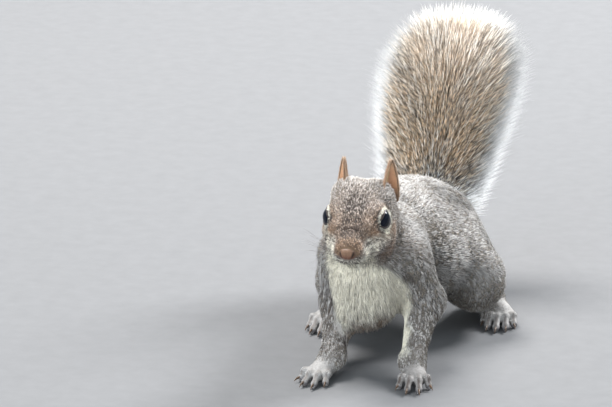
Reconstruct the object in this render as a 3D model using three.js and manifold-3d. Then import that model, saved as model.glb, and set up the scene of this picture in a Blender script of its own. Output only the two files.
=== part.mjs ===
// Grey squirrel, life size, standing on all fours with its tail raised.
// Millimetres, +Z up, nose towards -Y, the animal's left towards +X, soles on Z = 0.
// The solids are the outline of the animal out to the tips of its coat, parted by thin cuts.
import * as THREE from "three";
import { mergeVertices } from "three/addons/utils/BufferGeometryUtils.js";
import Module from "manifold-3d";

const wasm = await Module();
wasm.setup();

// ---------------------------------------------------------------- driving dimensions
const GROWTH = 1.165; // a grown animal against the young one that the sizes below describe
const GAP = 0.3; // every thin cut, and round each separate piece
const SEAT = GAP / 2; // half a cut, on each side of it
const FINENESS = 0.05; // edges shorter than this close up when pieces are cut
const BLEND = 9; // how softly the masses of the body run together
const THIGH_BLEND = 14;
const LIMB_BLEND = 6;
const FACE_BLEND = 4;

// The head looks a little to the left of the way the body points.
const HEAD = { pivot: { x: -1.55, y: 9 }, yaw: 1.5 };
const EYE = { side: 10.9, y: 9, z: 79.2, radius: 5.4 };
const EAR = { height: 22, width: 12, thickness: 1.7, cup: 2.6, facing: 66, back: 9, splay: 3 };
const EAR_ROOT = { left: 11.9, right: -8.9, y: 24.5, z: 84 };
const NOSE = { y: -12.2, z: 67.8, half: [3.9, 2.6, 2.9] };
const TAIL = { halfWidth: 40, rootHalfWidth: 24, halfDepth: 17, rootHalfDepth: 14, sides: 16, rings: 20 };

const V = (x, y, z) => new THREE.Vector3(x, y, z);
const mirrored = (p) => V(-p.x, p.y, p.z);

// Where the joints of each limb are in this stance. The two sides differ, as in a step.
const FORE = {
  left: {
    shoulder: V(14, 37, 52),
    elbow: V(25, 41, 31),
    wrist: V(25, 13, 9),
    knuckles: V(28.5, 3, 4.2),
    toes: [V(36.4, -1.5, 1.5), V(33.2, -9.4, 1.5), V(27.6, -10.2, 1.5), V(22.4, -5, 1.5)],
  },
  right: {
    shoulder: V(-12, 34, 52),
    elbow: V(-15.5, 36, 30),
    wrist: V(-13, 9, 9.5),
    knuckles: V(-17.4, 0, 4.2),
    toes: [V(-25.4, -3.6, 1.5), V(-22.4, -10.8, 1.5), V(-17.2, -13.4, 1.5), V(-12.4, -8.8, 1.5)],
  },
};
const HIND = {
  left: {
    hip: V(15.5, 118, 44.5),
    knee: V(38, 96, 27.5),
    ankle: V(37, 128, 10),
    heel: V(38, 138, 5.2),
    ball: V(48.5, 111, 4.6),
    toes: [V(57.5, 102, 1.6), V(54.5, 96, 1.6), V(50, 93.5, 1.6), V(45.5, 95.5, 1.6), V(42, 103, 1.6)],
  },
  right: {
    hip: V(-12, 114, 44),
    knee: V(-21.5, 78, 28),
    ankle: V(-29, 110, 11),
    heel: V(-29.5, 120, 5.4),
    ball: V(-32.5, 85, 4.6),
    toes: [V(-40.5, 76, 1.6), V(-37.5, 69.5, 1.6), V(-33, 67, 1.6), V(-28.5, 69, 1.6), V(-25.5, 76.5, 1.6)],
  },
};
const TAIL_PATH = [
  V(1, 138, 44), V(1, 154, 42.5), V(1.2, 170, 48), V(2, 181, 65), V(4.2, 187, 86),
  V(6.8, 192, 108), V(9, 200, 124.5), V(10.8, 214, 134.5),
];

// ---------------------------------------------------------------- flesh as a field
// Each mass is a function of a point: negative inside, about the distance to its surface outside.
const egg = (cx, cy, cz, rx, ry, rz) => (x, y, z) => {
  const u = (x - cx) / rx;
  const v = (y - cy) / ry;
  const w = (z - cz) / rz;
  const k = Math.hypot(u, v, w);
  return k < 1e-9 ? -Math.min(rx, ry, rz) : (k * (k - 1)) / Math.hypot(u / rx, v / ry, w / rz);
};
const ball = (c, r) => (x, y, z) => Math.hypot(x - c.x, y - c.y, z - c.z) - r;
const rod = (a, b, ra, rb) => {
  const d = b.clone().sub(a);
  const long = d.lengthSq();
  return (x, y, z) => {
    const along = ((x - a.x) * d.x + (y - a.y) * d.y + (z - a.z) * d.z) / long;
    const t = Math.min(1, Math.max(0, along));
    const out = Math.hypot(x - a.x - t * d.x, y - a.y - t * d.y, z - a.z - t * d.z);
    return out - (ra + (rb - ra) * t);
  };
};
const flatRod = (a, b, ra, rb, flat) => {
  const laid = rod(V(a.x, a.y, a.z / flat), V(b.x, b.y, b.z / flat), ra, rb);
  return (x, y, z) => laid(x, y, z / flat) * flat;
};
// Runs masses together with a fillet about as wide as blend.
const joined = (blend, ...masses) => (x, y, z) => {
  let d = masses[0](x, y, z);
  for (let i = 1; i < masses.length; i++) {
    const e = masses[i](x, y, z);
    const h = Math.max(blend - Math.abs(d - e), 0) / blend;
    d = Math.min(d, e) - (h * h * blend) / 4;
  }
  return d;
};
const both = (make) => [make(1), make(-1)];

// From the head's own axes, with its mid-plane on X = 0, to the animal's.
const YAW = THREE.MathUtils.degToRad(HEAD.yaw);
const headPlace = new THREE.Matrix4()
  .makeTranslation(HEAD.pivot.x, HEAD.pivot.y, 0)
  .multiply(new THREE.Matrix4().makeRotationZ(YAW))
  .multiply(new THREE.Matrix4().makeTranslation(0, -HEAD.pivot.y, 0));
const inHeadAxes = (field) => (x, y, z) => {
  const [u, v] = [x - HEAD.pivot.x, y - HEAD.pivot.y];
  const [c, s] = [Math.cos(YAW), Math.sin(YAW)];
  return field(c * u + s * v, HEAD.pivot.y - s * u + c * v, z);
};

function headMass() {
  return joined(
    FACE_BLEND,
    egg(0, 21, 78.6, 15.8, 18.2, 16), // brain case, with the coat of the crown
    ...both((s) => ball(V(s * 6.6, 23, 86.4), 8.4)), // muscle under the ears
    ...both((s) => ball(V(s * 6.2, 3.6, 76.4), 6.2)), // brow and bridge
    rod(V(0, 8, 75), V(0, -5.5, 69.2), 11, 7), // muzzle
    ball(V(0, -8.6, 68.2), 5), // nose end
    ...both((s) => rod(V(s * 6.8, 1.2, 67.8), V(s * 9.2, 14.5, 71), 5.8, 8.6)), // cheeks
    ...both((s) => ball(V(s * 8.6, 9.6, 80.2), 6.6)), // rims of the eyes
    ...both((s) => ball(V(s * 3.9, -5.6, 66), 4.5)), // whisker pads
    rod(V(0, 18, 67), V(0, -2, 64.6), 10, 4.8), // lower jaw
  );
}

function bodyMass() {
  return joined(
    BLEND,
    egg(0, 47, 48.5, 24, 29, 25.5), // rib cage
    egg(0, 84, 47.5, 29, 42, 28.5), // belly and loins
    egg(1, 117, 43.5, 28, 31, 27), // rump
    rod(V(-1, 30, 71), V(0, 48, 56), 15, 21), // neck
    rod(V(-1, 18, 60), V(0, 24, 34.5), 10.5, 14.5), // throat and bib
    egg(17, 92, 40, 24, 32, 22), // left flank
    egg(-10, 88, 40, 22, 30, 21), // right flank
  );
}

function foreLimb({ shoulder, elbow, wrist, knuckles }) {
  return joined(
    LIMB_BLEND,
    rod(shoulder, elbow, 13.5, 10.2),
    rod(elbow, wrist, 9.4, 5.3),
    flatRod(wrist, knuckles, 5, 6.5, 0.72),
  );
}

function hindLimb({ hip, knee, ankle, heel, ball: pad }) {
  return joined(
    LIMB_BLEND,
    rod(hip, knee, 20, 16),
    rod(knee, ankle, 13.5, 7),
    rod(ankle, heel, 6.6, 5.6),
    flatRod(heel, pad, 5.6, 7.2, 0.8),
  );
}

const foreBody = joined(
  BLEND,
  bodyMass(),
  inHeadAxes(headMass()),
  foreLimb(FORE.left),
  foreLimb(FORE.right),
);
const flesh = joined(THIGH_BLEND, foreBody, hindLimb(HIND.left), hindLimb(HIND.right));

// ---------------------------------------------------------------- solids
function solidOf(geometry) {
  const bare = new THREE.BufferGeometry().setAttribute("position", geometry.getAttribute("position"));
  bare.setIndex(geometry.index);
  const merged = mergeVertices(bare, 1e-4);
  return new wasm.Manifold(
    new wasm.Mesh({
      numProp: 3,
      vertProperties: merged.attributes.position.array,
      triVerts: new Uint32Array(merged.index.array),
      tolerance: FINENESS,
    }),
  );
}

function geometryOf(solid) {
  const mesh = solid.getMesh();
  return new THREE.BufferGeometry()
    .setAttribute("position", new THREE.BufferAttribute(mesh.vertProperties, 3))
    .setIndex(new THREE.BufferAttribute(mesh.triVerts, 1));
}

// The surface of a field inside a box, as a net with one point in each cell that the surface
// crosses. The outer layer of the grid counts as outside, so that the net is closed.
function netOf(field, box, cell) {
  const size = box.getSize(V(0, 0, 0));
  const n = ["x", "y", "z"].map((k, i) => Math.ceil(size[k] / cell[i]) + 3);
  const at = (i, axis) => box.min.getComponent(axis) + (i - 1) * cell[axis];
  const id = (i, j, k) => (i * n[1] + j) * n[2] + k;
  const value = new Float64Array(n[0] * n[1] * n[2]);
  for (let i = 0; i < n[0]; i++)
    for (let j = 0; j < n[1]; j++)
      for (let k = 0; k < n[2]; k++) {
        const edge = [i, j, k].some((c, axis) => c === 0 || c === n[axis] - 1);
        value[id(i, j, k)] = edge ? cell[0] : field(at(i, 0), at(j, 1), at(k, 2));
      }
  const corners = [0, 1, 2, 3, 4, 5, 6, 7].map((c) => [(c >> 2) & 1, (c >> 1) & 1, c & 1]);
  const points = [];
  const pointOf = new Int32Array(value.length).fill(-1);
  for (let i = 0; i < n[0] - 1; i++)
    for (let j = 0; j < n[1] - 1; j++)
      for (let k = 0; k < n[2] - 1; k++) {
        const sum = V(0, 0, 0);
        let crossings = 0;
        for (const a of corners)
          for (let axis = 0; axis < 3; axis++) {
            if (a[axis]) continue;
            const b = a.slice();
            b[axis] = 1;
            const va = value[id(i + a[0], j + a[1], k + a[2])];
            const vb = value[id(i + b[0], j + b[1], k + b[2])];
            if (va < 0 === vb < 0) continue;
            const spot = [i + a[0], j + a[1], k + a[2]];
            spot[axis] += va / (va - vb);
            sum.add(V(...spot));
            crossings++;
          }
        if (!crossings) continue;
        pointOf[id(i, j, k)] = points.length / 3;
        sum.divideScalar(crossings);
        points.push(...onto(field, at(sum.x, 0), at(sum.y, 1), at(sum.z, 2), Math.min(...cell) / 3));
      }
  const faces = [];
  const point = (c) => V(points[3 * c], points[3 * c + 1], points[3 * c + 2]);
  for (let axis = 0; axis < 3; axis++) {
    const [u, v] = [(axis + 1) % 3, (axis + 2) % 3];
    for (let i = 0; i < n[0] - 1; i++)
      for (let j = 0; j < n[1] - 1; j++)
        for (let k = 0; k < n[2] - 1; k++) {
          const here = [i, j, k];
          if (here[u] === 0 || here[v] === 0) continue;
          const next = here.slice();
          next[axis]++;
          const inside = value[id(...here)] < 0;
          if (inside === value[id(...next)] < 0) continue;
          const ring = [[0, 0], [1, 0], [1, 1], [0, 1]].map(([du, dv]) => {
            const c = here.slice();
            c[u] -= du;
            c[v] -= dv;
            return pointOf[id(...c)];
          });
          if (!inside) ring.reverse();
          const [a, b, c, d] = ring;
          const shorter = point(a).distanceTo(point(c)) <= point(b).distanceTo(point(d));
          faces.push(...(shorter ? [a, b, c, a, c, d] : [b, c, d, b, d, a]));
        }
  }
  const geometry = new THREE.BufferGeometry();
  geometry.setAttribute("position", new THREE.Float32BufferAttribute(points, 3)).setIndex(faces);
  return solidOf(geometry);
}

// Slides a point down the field's slope to the surface, by no more than reach.
function onto(field, x, y, z, reach) {
  const e = 0.2;
  const d = field(x, y, z);
  const slope = V(
    field(x + e, y, z) - field(x - e, y, z),
    field(x, y + e, z) - field(x, y - e, z),
    field(x, y, z + e) - field(x, y, z - e),
  ).divideScalar(2 * e);
  const steep = slope.lengthSq();
  if (steep < 0.05 || Math.abs(d) > 2 * reach) return [x, y, z];
  const step = slope.multiplyScalar(-d / steep).clampLength(0, reach);
  return [x + step.x, y + step.y, z + step.z];
}

// A closed skin through rings of points. Each end is closed by a strip across its ring.
function loft(rings) {
  const n = rings[0].length;
  const faces = [];
  rings.slice(1).forEach((_, r) => {
    for (let i = 0; i < n; i++) {
      const [a, b] = [r * n + i, r * n + ((i + 1) % n)];
      faces.push(a, b, b + n, a, b + n, a + n);
    }
  });
  const cap = (first, turn) => {
    for (let i = 0; i < n / 2 - 1; i++) {
      const [a, b, c, d] = [i, i + 1, n - 2 - i, n - 1 - i].map((k) => first + k);
      faces.push(...(turn ? [a, b, c, a, c, d] : [a, c, b, a, d, c]));
    }
  };
  cap(0, false);
  cap((rings.length - 1) * n, true);
  const geometry = new THREE.BufferGeometry();
  const points = rings.flat().flatMap((p) => [p.x, p.y, p.z]);
  geometry.setAttribute("position", new THREE.Float32BufferAttribute(points, 3)).setIndex(faces);
  return solidOf(geometry);
}

// An oval ring round a point, square to the way along. Half sizes are across and over the way.
function oval(centre, along, side, across, over, sides) {
  const up = V(0, 0, 0).crossVectors(side, along).normalize();
  return Array.from({ length: sides }, (_, i) => {
    const turn = (2 * Math.PI * (i + 0.5)) / sides;
    return centre
      .clone()
      .addScaledVector(side, across * Math.cos(turn))
      .addScaledVector(up, -over * Math.sin(turn));
  });
}

function tube(points, radii, sides, squash = 1) {
  const path = new THREE.CatmullRomCurve3(points);
  return loft(
    radii.map((r, i) => {
      const t = i / (radii.length - 1);
      const along = path.getTangent(t);
      const side = V(0, 0, 0).crossVectors(V(0, 0, 1), along).normalize();
      return oval(path.getPoint(t), along, side, r, r * squash, sides);
    }),
  );
}

// ---------------------------------------------------------------- regions and their cuts
// A region is a turned box that holds one part of the animal. Its sides are the thin cuts.
function region(centre, size, turns = [0, 0, 0]) {
  const turned = new THREE.Euler(...turns.map(THREE.MathUtils.degToRad));
  const place = new THREE.Matrix4().makeRotationFromEuler(turned).setPosition(centre);
  const grown = (by) =>
    new THREE.BoxGeometry(...size.map((s) => s + 2 * by)).applyMatrix4(place);
  const inner = grown(-SEAT);
  inner.computeBoundingBox();
  return { box: inner.boundingBox, inside: solidOf(inner), cutter: solidOf(grown(SEAT)) };
}

// A box on a limb, from one joint to the next, with its long side along the limb.
function limbRegion(from, to, across, past) {
  const way = to.clone().sub(from);
  const turned = new THREE.Euler().setFromQuaternion(
    new THREE.Quaternion().setFromUnitVectors(V(0, 0, 1), way.clone().normalize()),
  );
  const centre = from.clone().add(to).divideScalar(2);
  const turns = [turned.x, turned.y, turned.z].map(THREE.MathUtils.radToDeg);
  return region(centre, [across[0], across[1], way.length() + past], turns);
}

const between = (a, b, t) => a.clone().lerp(b, t);

const REGIONS = {
  head: [region(V(-1, 3, 84.5), [64, 58, 50], [-24, 0, 0]), [4.5, 4.8, 4.5]],
  neck: [region(V(-1, 33, 76), [74, 20, 70], [-30, 0, 0]), [7, 7, 7]],
};
for (const side of ["left", "right"]) {
  const s = side === "left" ? 1 : -1;
  const { elbow, wrist, knuckles } = FORE[side];
  REGIONS[`hand_${side}`] = [
    region(V((wrist.x + knuckles.x) / 2, wrist.y - 13, 3.4), [36, 34, 17]), [3.8, 3.8, 3.1],
  ];
  REGIONS[`forearm_${side}`] = [
    region(V((elbow.x + wrist.x) / 2 + s * 3, 21, 13), [25, 60, 24]), [4.2, 4.8, 4.4],
  ];
  REGIONS[`upper_arm_${side}`] = [region(V(s * 28.5, 35, 38), [33, 44, 28]), [5, 5.4, 5]];
  const { ball: pad, heel, knee } = HIND[side];
  REGIONS[`foot_${side}`] = [
    region(V((pad.x + heel.x) / 2, between(pad, heel, 0.5).y - 3, 2.6), [30, 70, 15]),
    [4.4, 6, 3.2],
  ];
  REGIONS[`shank_${side}`] = [
    region(V(heel.x + s * 1.5, heel.y - 16, 15), [28.6, 50, 16.2]), [5, 5.4, 4.6],
  ];
  REGIONS[`thigh_${side}`] = [
    region(V(s * 40, knee.y + 14, 36), [46, 84, 58]), [7.2, 8, 7.2],
  ];
}
const TRUNK_BOX = new THREE.Box3(V(-48, 10, 10), V(48, 152, 90));
const TRUNK_CELL = [7.2, 9, 7];
const ROOT_PLANE = TAIL_PATH[0].y; // where the trunk ends and the tail begins

// ---------------------------------------------------------------- the pieces
const solids = {};
const ground = region(V(0, 100, 100), [400, 600, 200 + 2 * SEAT]).inside;

// Keeps the largest body of a cut solid, because a cut can leave a crumb in a neighbour's place.
function whole(solid) {
  const bodies = solid.decompose();
  return bodies.reduce((a, b) => (b.volume() > a.volume() ? b : a));
}

// All that lies in front of the tail's root.
const ahead = region(V(0, ROOT_PLANE - 200, 100), [400, 400, 400]);

function makeFlesh() {
  let taken = null;
  for (const [name, [part, cell]] of Object.entries(REGIONS)) {
    let solid = netOf(flesh, part.box, cell).intersect(part.inside);
    if (name.startsWith("thigh")) solid = solid.intersect(ahead.inside);
    if (taken) solid = solid.subtract(taken);
    taken = taken ? taken.add(part.cutter) : part.cutter;
    solids[name] = whole(solid.intersect(ground));
  }
  const trunk = netOf(flesh, TRUNK_BOX, TRUNK_CELL).intersect(ahead.inside).subtract(taken);
  solids.trunk = whole(trunk);
}

function makeEyes() {
  for (const [side, s] of [["left", 1], ["right", -1]]) {
    const centre = V(s * EYE.side, EYE.y, EYE.z).applyMatrix4(headPlace);
    const globe = (r) => solidOf(new THREE.SphereGeometry(r, 12, 9).translate(...centre));
    solids[`eye_${side}`] = globe(EYE.radius);
    solids.head = whole(solids.head.subtract(globe(EYE.radius + GAP)));
  }
}

// The ear is a cupped leaf: its width swells from the root and closes to a point.
function makeEars() {
  const levels = [0, 0.2, 0.42, 0.62, 0.8, 0.93, 1];
  const breadth = (v) => Math.pow(Math.sin(Math.PI * (0.3 + 0.7 * v)), 0.75) * (1 - 0.15 * v) + 0.04;
  const sides = 10;
  for (const [side, s] of [["left", 1], ["right", -1]]) {
    const turns = [-EAR.back, s * EAR.splay, s * EAR.facing].map(THREE.MathUtils.degToRad);
    const place = new THREE.Matrix4()
      .makeRotationFromEuler(new THREE.Euler(...turns, "XYZ"))
      .setPosition(EAR_ROOT[side], EAR_ROOT.y, EAR_ROOT.z)
      .premultiply(headPlace);
    const rings = levels.map((v) =>
      Array.from({ length: sides }, (_, i) => {
        const turn = (2 * Math.PI * (i + 0.5)) / sides;
        const across = (EAR.width / 2) * breadth(v) * Math.cos(turn);
        const bend = EAR.cup * breadth(v) * (Math.cos(turn) ** 2 - 0.5);
        const thick = (EAR.thickness / 2) * Math.sin(turn) * (1 - 0.45 * v);
        return V(across, -bend + thick, (v - 0.12) * EAR.height).applyMatrix4(place);
      }),
    );
    const leaf = loft(rings);
    const about = new THREE.Box3().setFromPoints(rings.flat()).expandByScalar(3);
    const scalp = netOf((x, y, z) => flesh(x, y, z) - GAP, about, [2, 2, 2]);
    solids[`ear_${side}`] = whole(leaf.subtract(scalp).subtract(solids.head));
  }
}

function makeNose() {
  const pad = (by) => {
    const shape = new THREE.SphereGeometry(1, 10, 7).rotateX(Math.PI / 2);
    shape.scale(...NOSE.half.map((h) => h + by)).translate(0, NOSE.y, NOSE.z);
    shape.applyMatrix4(headPlace);
    return solidOf(shape);
  };
  solids.nose = pad(0);
  solids.head = whole(solids.head.subtract(pad(GAP)));
}

// A toe runs from the knuckles to its tip in an arch, and its claw goes on past it.
function makeToes(limb, side, root, tips, spread, radius, clawLength) {
  tips.forEach((tip, i) => {
    const start = root.clone();
    start.x += (i - (tips.length - 1) / 2) * -spread * (side === "left" ? 1 : -1);
    const middle = between(start, tip, 0.55);
    middle.z = start.z + 0.9;
    const toe = tube([start, middle, tip], [1, 1.02, 1, 0.62].map((k) => k * radius), 6, 0.86);
    const name = `${limb}_${side}`;
    solids[name] = solids[name].add(toe.intersect(ground));
    const way = tip.clone().sub(middle).setZ(0).normalize();
    const out = new THREE.CatmullRomCurve3([start, middle, tip]).getTangent(1);
    const base = tip.clone().addScaledVector(out, GAP + 0.6);
    const claw = [
      base,
      base.clone().addScaledVector(way, 0.45 * clawLength).setZ(1.5),
      base.clone().addScaledVector(way, 0.9 * clawLength).setZ(0.6),
    ];
    const taper = [0.8, 0.62, 0.3];
    solids[`claw_${limb}_${side}_${i + 1}`] = tube(claw, taper, 5, 1.1).intersect(ground);
  });
  solids[`${limb}_${side}`] = whole(solids[`${limb}_${side}`]);
}

// The tail is a plume: a wide oval that swells from the root and rounds off at its tip.
function makeTail() {
  const path = new THREE.CatmullRomCurve3(TAIL_PATH);
  const smooth = (a, b, t) => THREE.MathUtils.smoothstep(t, a, b);
  const roundOff = (t) => Math.sqrt(Math.max(0, 1 - Math.max(0, (t - 0.6) / 0.4) ** 3.2));
  const swell = (a, b, from, to, t) => a + (b - a) * smooth(from, to, t);
  const ring = (t) => {
    const wide = swell(TAIL.rootHalfWidth, TAIL.halfWidth, 0, 0.75, t) * roundOff(t);
    const deep = swell(TAIL.rootHalfDepth, TAIL.halfDepth, 0.1, 0.6, t) * roundOff(t);
    const [centre, along] = [path.getPointAt(t), path.getTangentAt(t)];
    return oval(centre, along, V(1, 0, 0), Math.max(wide, 1), Math.max(deep, 1), TAIL.sides);
  };
  const slit = GAP / path.getLength();
  const cuts = [["tail_base", slit, 0.34], ["tail_middle", 0.34 + slit, 0.67], ["tail_tip", 0.67 + slit, 1]];
  for (const [name, from, to] of cuts) {
    const count = Math.max(3, Math.round(TAIL.rings * (to - from)));
    solids[name] = loft(Array.from({ length: count + 1 }, (_, i) => ring(from + ((to - from) * i) / count)));
  }
  solids.tail_base = whole(solids.tail_base.subtract(ahead.cutter));
}

makeFlesh();
makeEyes();
makeEars();
makeNose();
for (const side of ["left", "right"]) {
  makeToes("hand", side, FORE[side].knuckles, FORE[side].toes, 3, 2, 4.2);
  makeToes("foot", side, HIND[side].ball, HIND[side].toes, 2.8, 2.2, 4.6);
}
makeTail();

// ---------------------------------------------------------------- materials and the group
const material = (color, roughness) => new THREE.MeshStandardMaterial({ color, roughness, metalness: 0 });
const COAT = material(0x8f8a84, 0.9);
const PLUME = material(0x9a8570, 0.95);
const PALE = material(0xc9c6bf, 0.9);
const EAR_SKIN = material(0xc08a5e, 0.8);
const NOSE_SKIN = material(0xa97b62, 0.5);
const EYE_GLOSS = material(0x0d0b0c, 0.08);
const HORN = material(0x5c4f45, 0.4);
const MATERIALS = [
  ["eye", EYE_GLOSS], ["ear", EAR_SKIN], ["nose", NOSE_SKIN], ["claw", HORN],
  ["tail", PLUME], ["hand", PALE], ["foot", PALE],
];

const squirrel = new THREE.Group();
for (const [name, solid] of Object.entries(solids)) {
  const kind = MATERIALS.find(([start]) => name.startsWith(start));
  const mesh = new THREE.Mesh(geometryOf(solid), kind ? kind[1] : COAT);
  mesh.name = name;
  squirrel.add(mesh);
}
const bounds = new THREE.Box3().setFromObject(squirrel);
const middle = bounds.getCenter(V(0, 0, 0));
squirrel.scale.setScalar(GROWTH);
squirrel.position.set(-GROWTH * middle.x, -GROWTH * middle.y, 0);

export default squirrel;
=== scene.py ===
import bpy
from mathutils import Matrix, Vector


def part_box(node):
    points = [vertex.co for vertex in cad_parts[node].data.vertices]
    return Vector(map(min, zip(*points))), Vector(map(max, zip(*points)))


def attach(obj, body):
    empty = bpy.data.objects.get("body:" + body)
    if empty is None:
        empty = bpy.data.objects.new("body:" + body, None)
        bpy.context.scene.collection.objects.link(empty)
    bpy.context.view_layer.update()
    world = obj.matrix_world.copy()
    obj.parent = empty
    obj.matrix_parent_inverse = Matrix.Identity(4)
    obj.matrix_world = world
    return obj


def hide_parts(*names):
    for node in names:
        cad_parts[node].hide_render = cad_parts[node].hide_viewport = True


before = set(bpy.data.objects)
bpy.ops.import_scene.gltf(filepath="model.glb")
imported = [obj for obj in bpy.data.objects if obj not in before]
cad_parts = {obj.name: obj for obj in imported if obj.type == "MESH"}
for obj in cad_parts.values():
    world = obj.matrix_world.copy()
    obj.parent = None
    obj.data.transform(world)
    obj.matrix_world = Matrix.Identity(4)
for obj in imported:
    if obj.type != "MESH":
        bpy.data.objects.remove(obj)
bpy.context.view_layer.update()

from types import SimpleNamespace

import bmesh
import bpy
import numpy as np
from mathutils import Matrix, Vector

# A grey squirrel on all fours with its tail raised. Its shape is worked out in drafting millimetres,
# the sizes of a young animal with the mid-plane near X = 0 and the soles on Z = 0, and is then put
# into the frame at the size of a grown one. The skin lies under the coat, whose tips reach the CAD's
# outline.
GROWTH = 1.165  # the grown animal's size over the drafting size
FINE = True
BROADER = 1.0 if FINE else 1.4
COAT_FILL = 0.94  # the share of the locks in lie_rows that are sown
PLUME_HAIRS = 32000
EAR_HAIRS = 5200
WHISKER_WIDTH = 0.10
UV_PATCH = 0.003  # each lock's patch in its UV map
NET_CELL = 1.5  # the grid that the skin is first netted on
chance = np.random.default_rng(41)
UP = np.array([0.0, 0.0, 1.0])
SIDES = {"left": 1, "right": -1}

HEAD_PIVOT = np.array([-1.55, 9.0, 0.0])
HEAD_YAW = np.radians(1.5)
EYE = np.array([10.9, 9.0, 79.2])
EYE_RADIUS = 5.4
EYE_LOOK = np.array([0.938, -0.29, 0.19])  # the way the left eye faces
EYE_OPENING = (4.7, 3.75)  # half width and half height of the opening between the lids
EYE_SLANT = 0.2  # how far the opening drops towards the nose
NOSE = np.array([0.0, -12.5, 67.8])
NOSE_HALF = np.array([4.3, 2.6, 2.9])
SNOUT_TIP = np.array([0.0, -11.0, 68.6])
EAR = {"height": 22, "width": 12, "thickness": 1.5, "cup": 3.0, "facing": 66, "back": 9, "splay": 3}
EAR_ROOT = {"left": (11.9, 24.5, 84.0), "right": (-8.9, 24.5, 84.0)}

FORE = {
    "left": dict(shoulder=(14, 37, 52), elbow=(25, 41, 31), wrist=(25, 13, 9), knuckles=(28.5, 3, 4.2),
                 toes=[(36.4, -1.5, 1.5), (33.2, -9.4, 1.5), (27.6, -10.2, 1.5), (22.4, -5, 1.5)]),
    "right": dict(shoulder=(-12, 34, 52), elbow=(-15.5, 36, 30), wrist=(-13, 9, 9.5),
                  knuckles=(-17.4, 0, 4.2),
                  toes=[(-25.4, -3.6, 1.5), (-22.4, -10.8, 1.5), (-17.2, -13.4, 1.5), (-12.4, -8.8, 1.5)]),
}
HIND = {
    "left": dict(hip=(15.5, 118, 44.5), knee=(38, 96, 27.5), ankle=(37, 128, 10), heel=(38, 138, 5.2),
                 ball=(48.5, 111, 4.6),
                 toes=[(57.5, 102, 1.6), (54.5, 96, 1.6), (50, 93.5, 1.6), (45.5, 95.5, 1.6),
                       (42, 103, 1.6)]),
    "right": dict(hip=(-12, 114, 44), knee=(-21.5, 78, 28), ankle=(-29, 110, 11), heel=(-29.5, 120, 5.4),
                  ball=(-32.5, 85, 4.6),
                  toes=[(-40.5, 76, 1.6), (-37.5, 69.5, 1.6), (-33, 67, 1.6), (-28.5, 69, 1.6),
                        (-25.5, 76.5, 1.6)]),
}
TAIL_PATH = np.array([(1, 138, 44), (1, 154, 42.5), (1.2, 170, 48), (2, 181, 65), (4.2, 187, 86),
                      (6.8, 192, 108), (9, 200, 124.5), (10.8, 214, 134.5)], float)
TAIL_WIDE = (24, 40)  # half widths at its root and where it is broadest
TAIL_DEEP = (14, 17)
COAT_PARTS = ("face", "crown", "chest", "shoulder", "hip", "arm", "leg")
COAT_PIECES = ["coat_%s_%s" % (part, side) for part in COAT_PARTS for side in ("right", "left")]
SKIN_SPACE = (-62, -30, -4), (68, 235, 150)  # the corners of the space that the skin is netted in


def vec(*v):
    """A point or a way from its three numbers."""
    return np.array(v, float)


def head_to_body(p):
    """Turns points from the head's own axes to the body's, about the head's pivot."""
    c, s = np.cos(HEAD_YAW), np.sin(HEAD_YAW)
    q = np.asarray(p, float) - HEAD_PIVOT * vec(0, 1, 1)
    flat = np.stack([c * q[..., 0] - s * q[..., 1], s * q[..., 0] + c * q[..., 1], q[..., 2]], -1)
    return flat + HEAD_PIVOT


def body_to_head(p):
    """The way back from the body's axes to the head's."""
    c, s = np.cos(HEAD_YAW), np.sin(HEAD_YAW)
    q = p - HEAD_PIVOT
    flat = np.stack([c * q[..., 0] + s * q[..., 1], c * q[..., 1] - s * q[..., 0], q[..., 2]], -1)
    return flat + HEAD_PIVOT * vec(0, 1, 1)


def box_middle(node):
    """The middle of a solid's box in the frame."""
    return np.mean([tuple(c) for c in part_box(node)], axis=0)


# The middle of the frame in drafting millimetres, from where the nose's solid lies in the frame: its
# middle is 0.3 mm behind the pad's.
MIDDLE = (head_to_body(NOSE + vec(0, 0.3, 0)) - box_middle("nose") / (GROWTH * 1e-3)) * vec(1, 1, 0)


def to_frame(p):
    """From drafting millimetres to metres in the frame."""
    return (np.asarray(p) - MIDDLE) * GROWTH * 1e-3


def smooth(x, a, b):
    """0 before a and 1 after b, with a soft start and end: 3t² - 2t³."""
    t = np.clip((x - a) / (b - a), 0, 1)
    return t * t * (3 - 2 * t)


def below(x, a, b):
    """1 below a and 0 above b, softly."""
    return smooth(-x, -b, -a)


def around(x, middle, inner, outer):
    """1 within inner of the middle and 0 beyond outer, softly."""
    return smooth(-np.abs(x - middle), -outer, -inner)


def close_to(p, centre, inner, outer):
    """1 within inner of a place and 0 beyond outer, softly."""
    return smooth(-np.linalg.norm(p - centre, axis=1), -outer, -inner)


def on_side(p, s):
    """A place of the left side for s = 1, and its mirror on the right for s = -1."""
    return vec(*p) * vec(s, 1, 1)


def round_turn(n):
    """n even angles of a full turn."""
    return np.linspace(0, 2 * np.pi, n, endpoint=False)


def shown(name, data):
    """A new object of the scene that holds this data."""
    thing = bpy.data.objects.new(name, data)
    bpy.context.scene.collection.objects.link(thing)
    return thing


def unit(v):
    """Ways made one long."""
    return v / np.maximum(np.linalg.norm(v, axis=-1, keepdims=True), 1e-9)


# ------------------------------------------------------------------ masses as fields
def egg(centre, half):
    """About the distance to an ellipsoid: k (k - 1) / |q / half|, where q = (p - centre) / half, k = |q|."""
    centre, half = vec(*centre), vec(*half)

    def field(p):
        q = (p - centre) / half
        k = np.linalg.norm(q, axis=-1)
        return k * (k - 1) / np.maximum(np.linalg.norm(q / half, axis=-1), 1e-6)
    return field


def ball(centre, radius):
    """The distance to a sphere."""
    centre = vec(*centre)
    return lambda p: np.linalg.norm(p - centre, axis=-1) - radius


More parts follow.
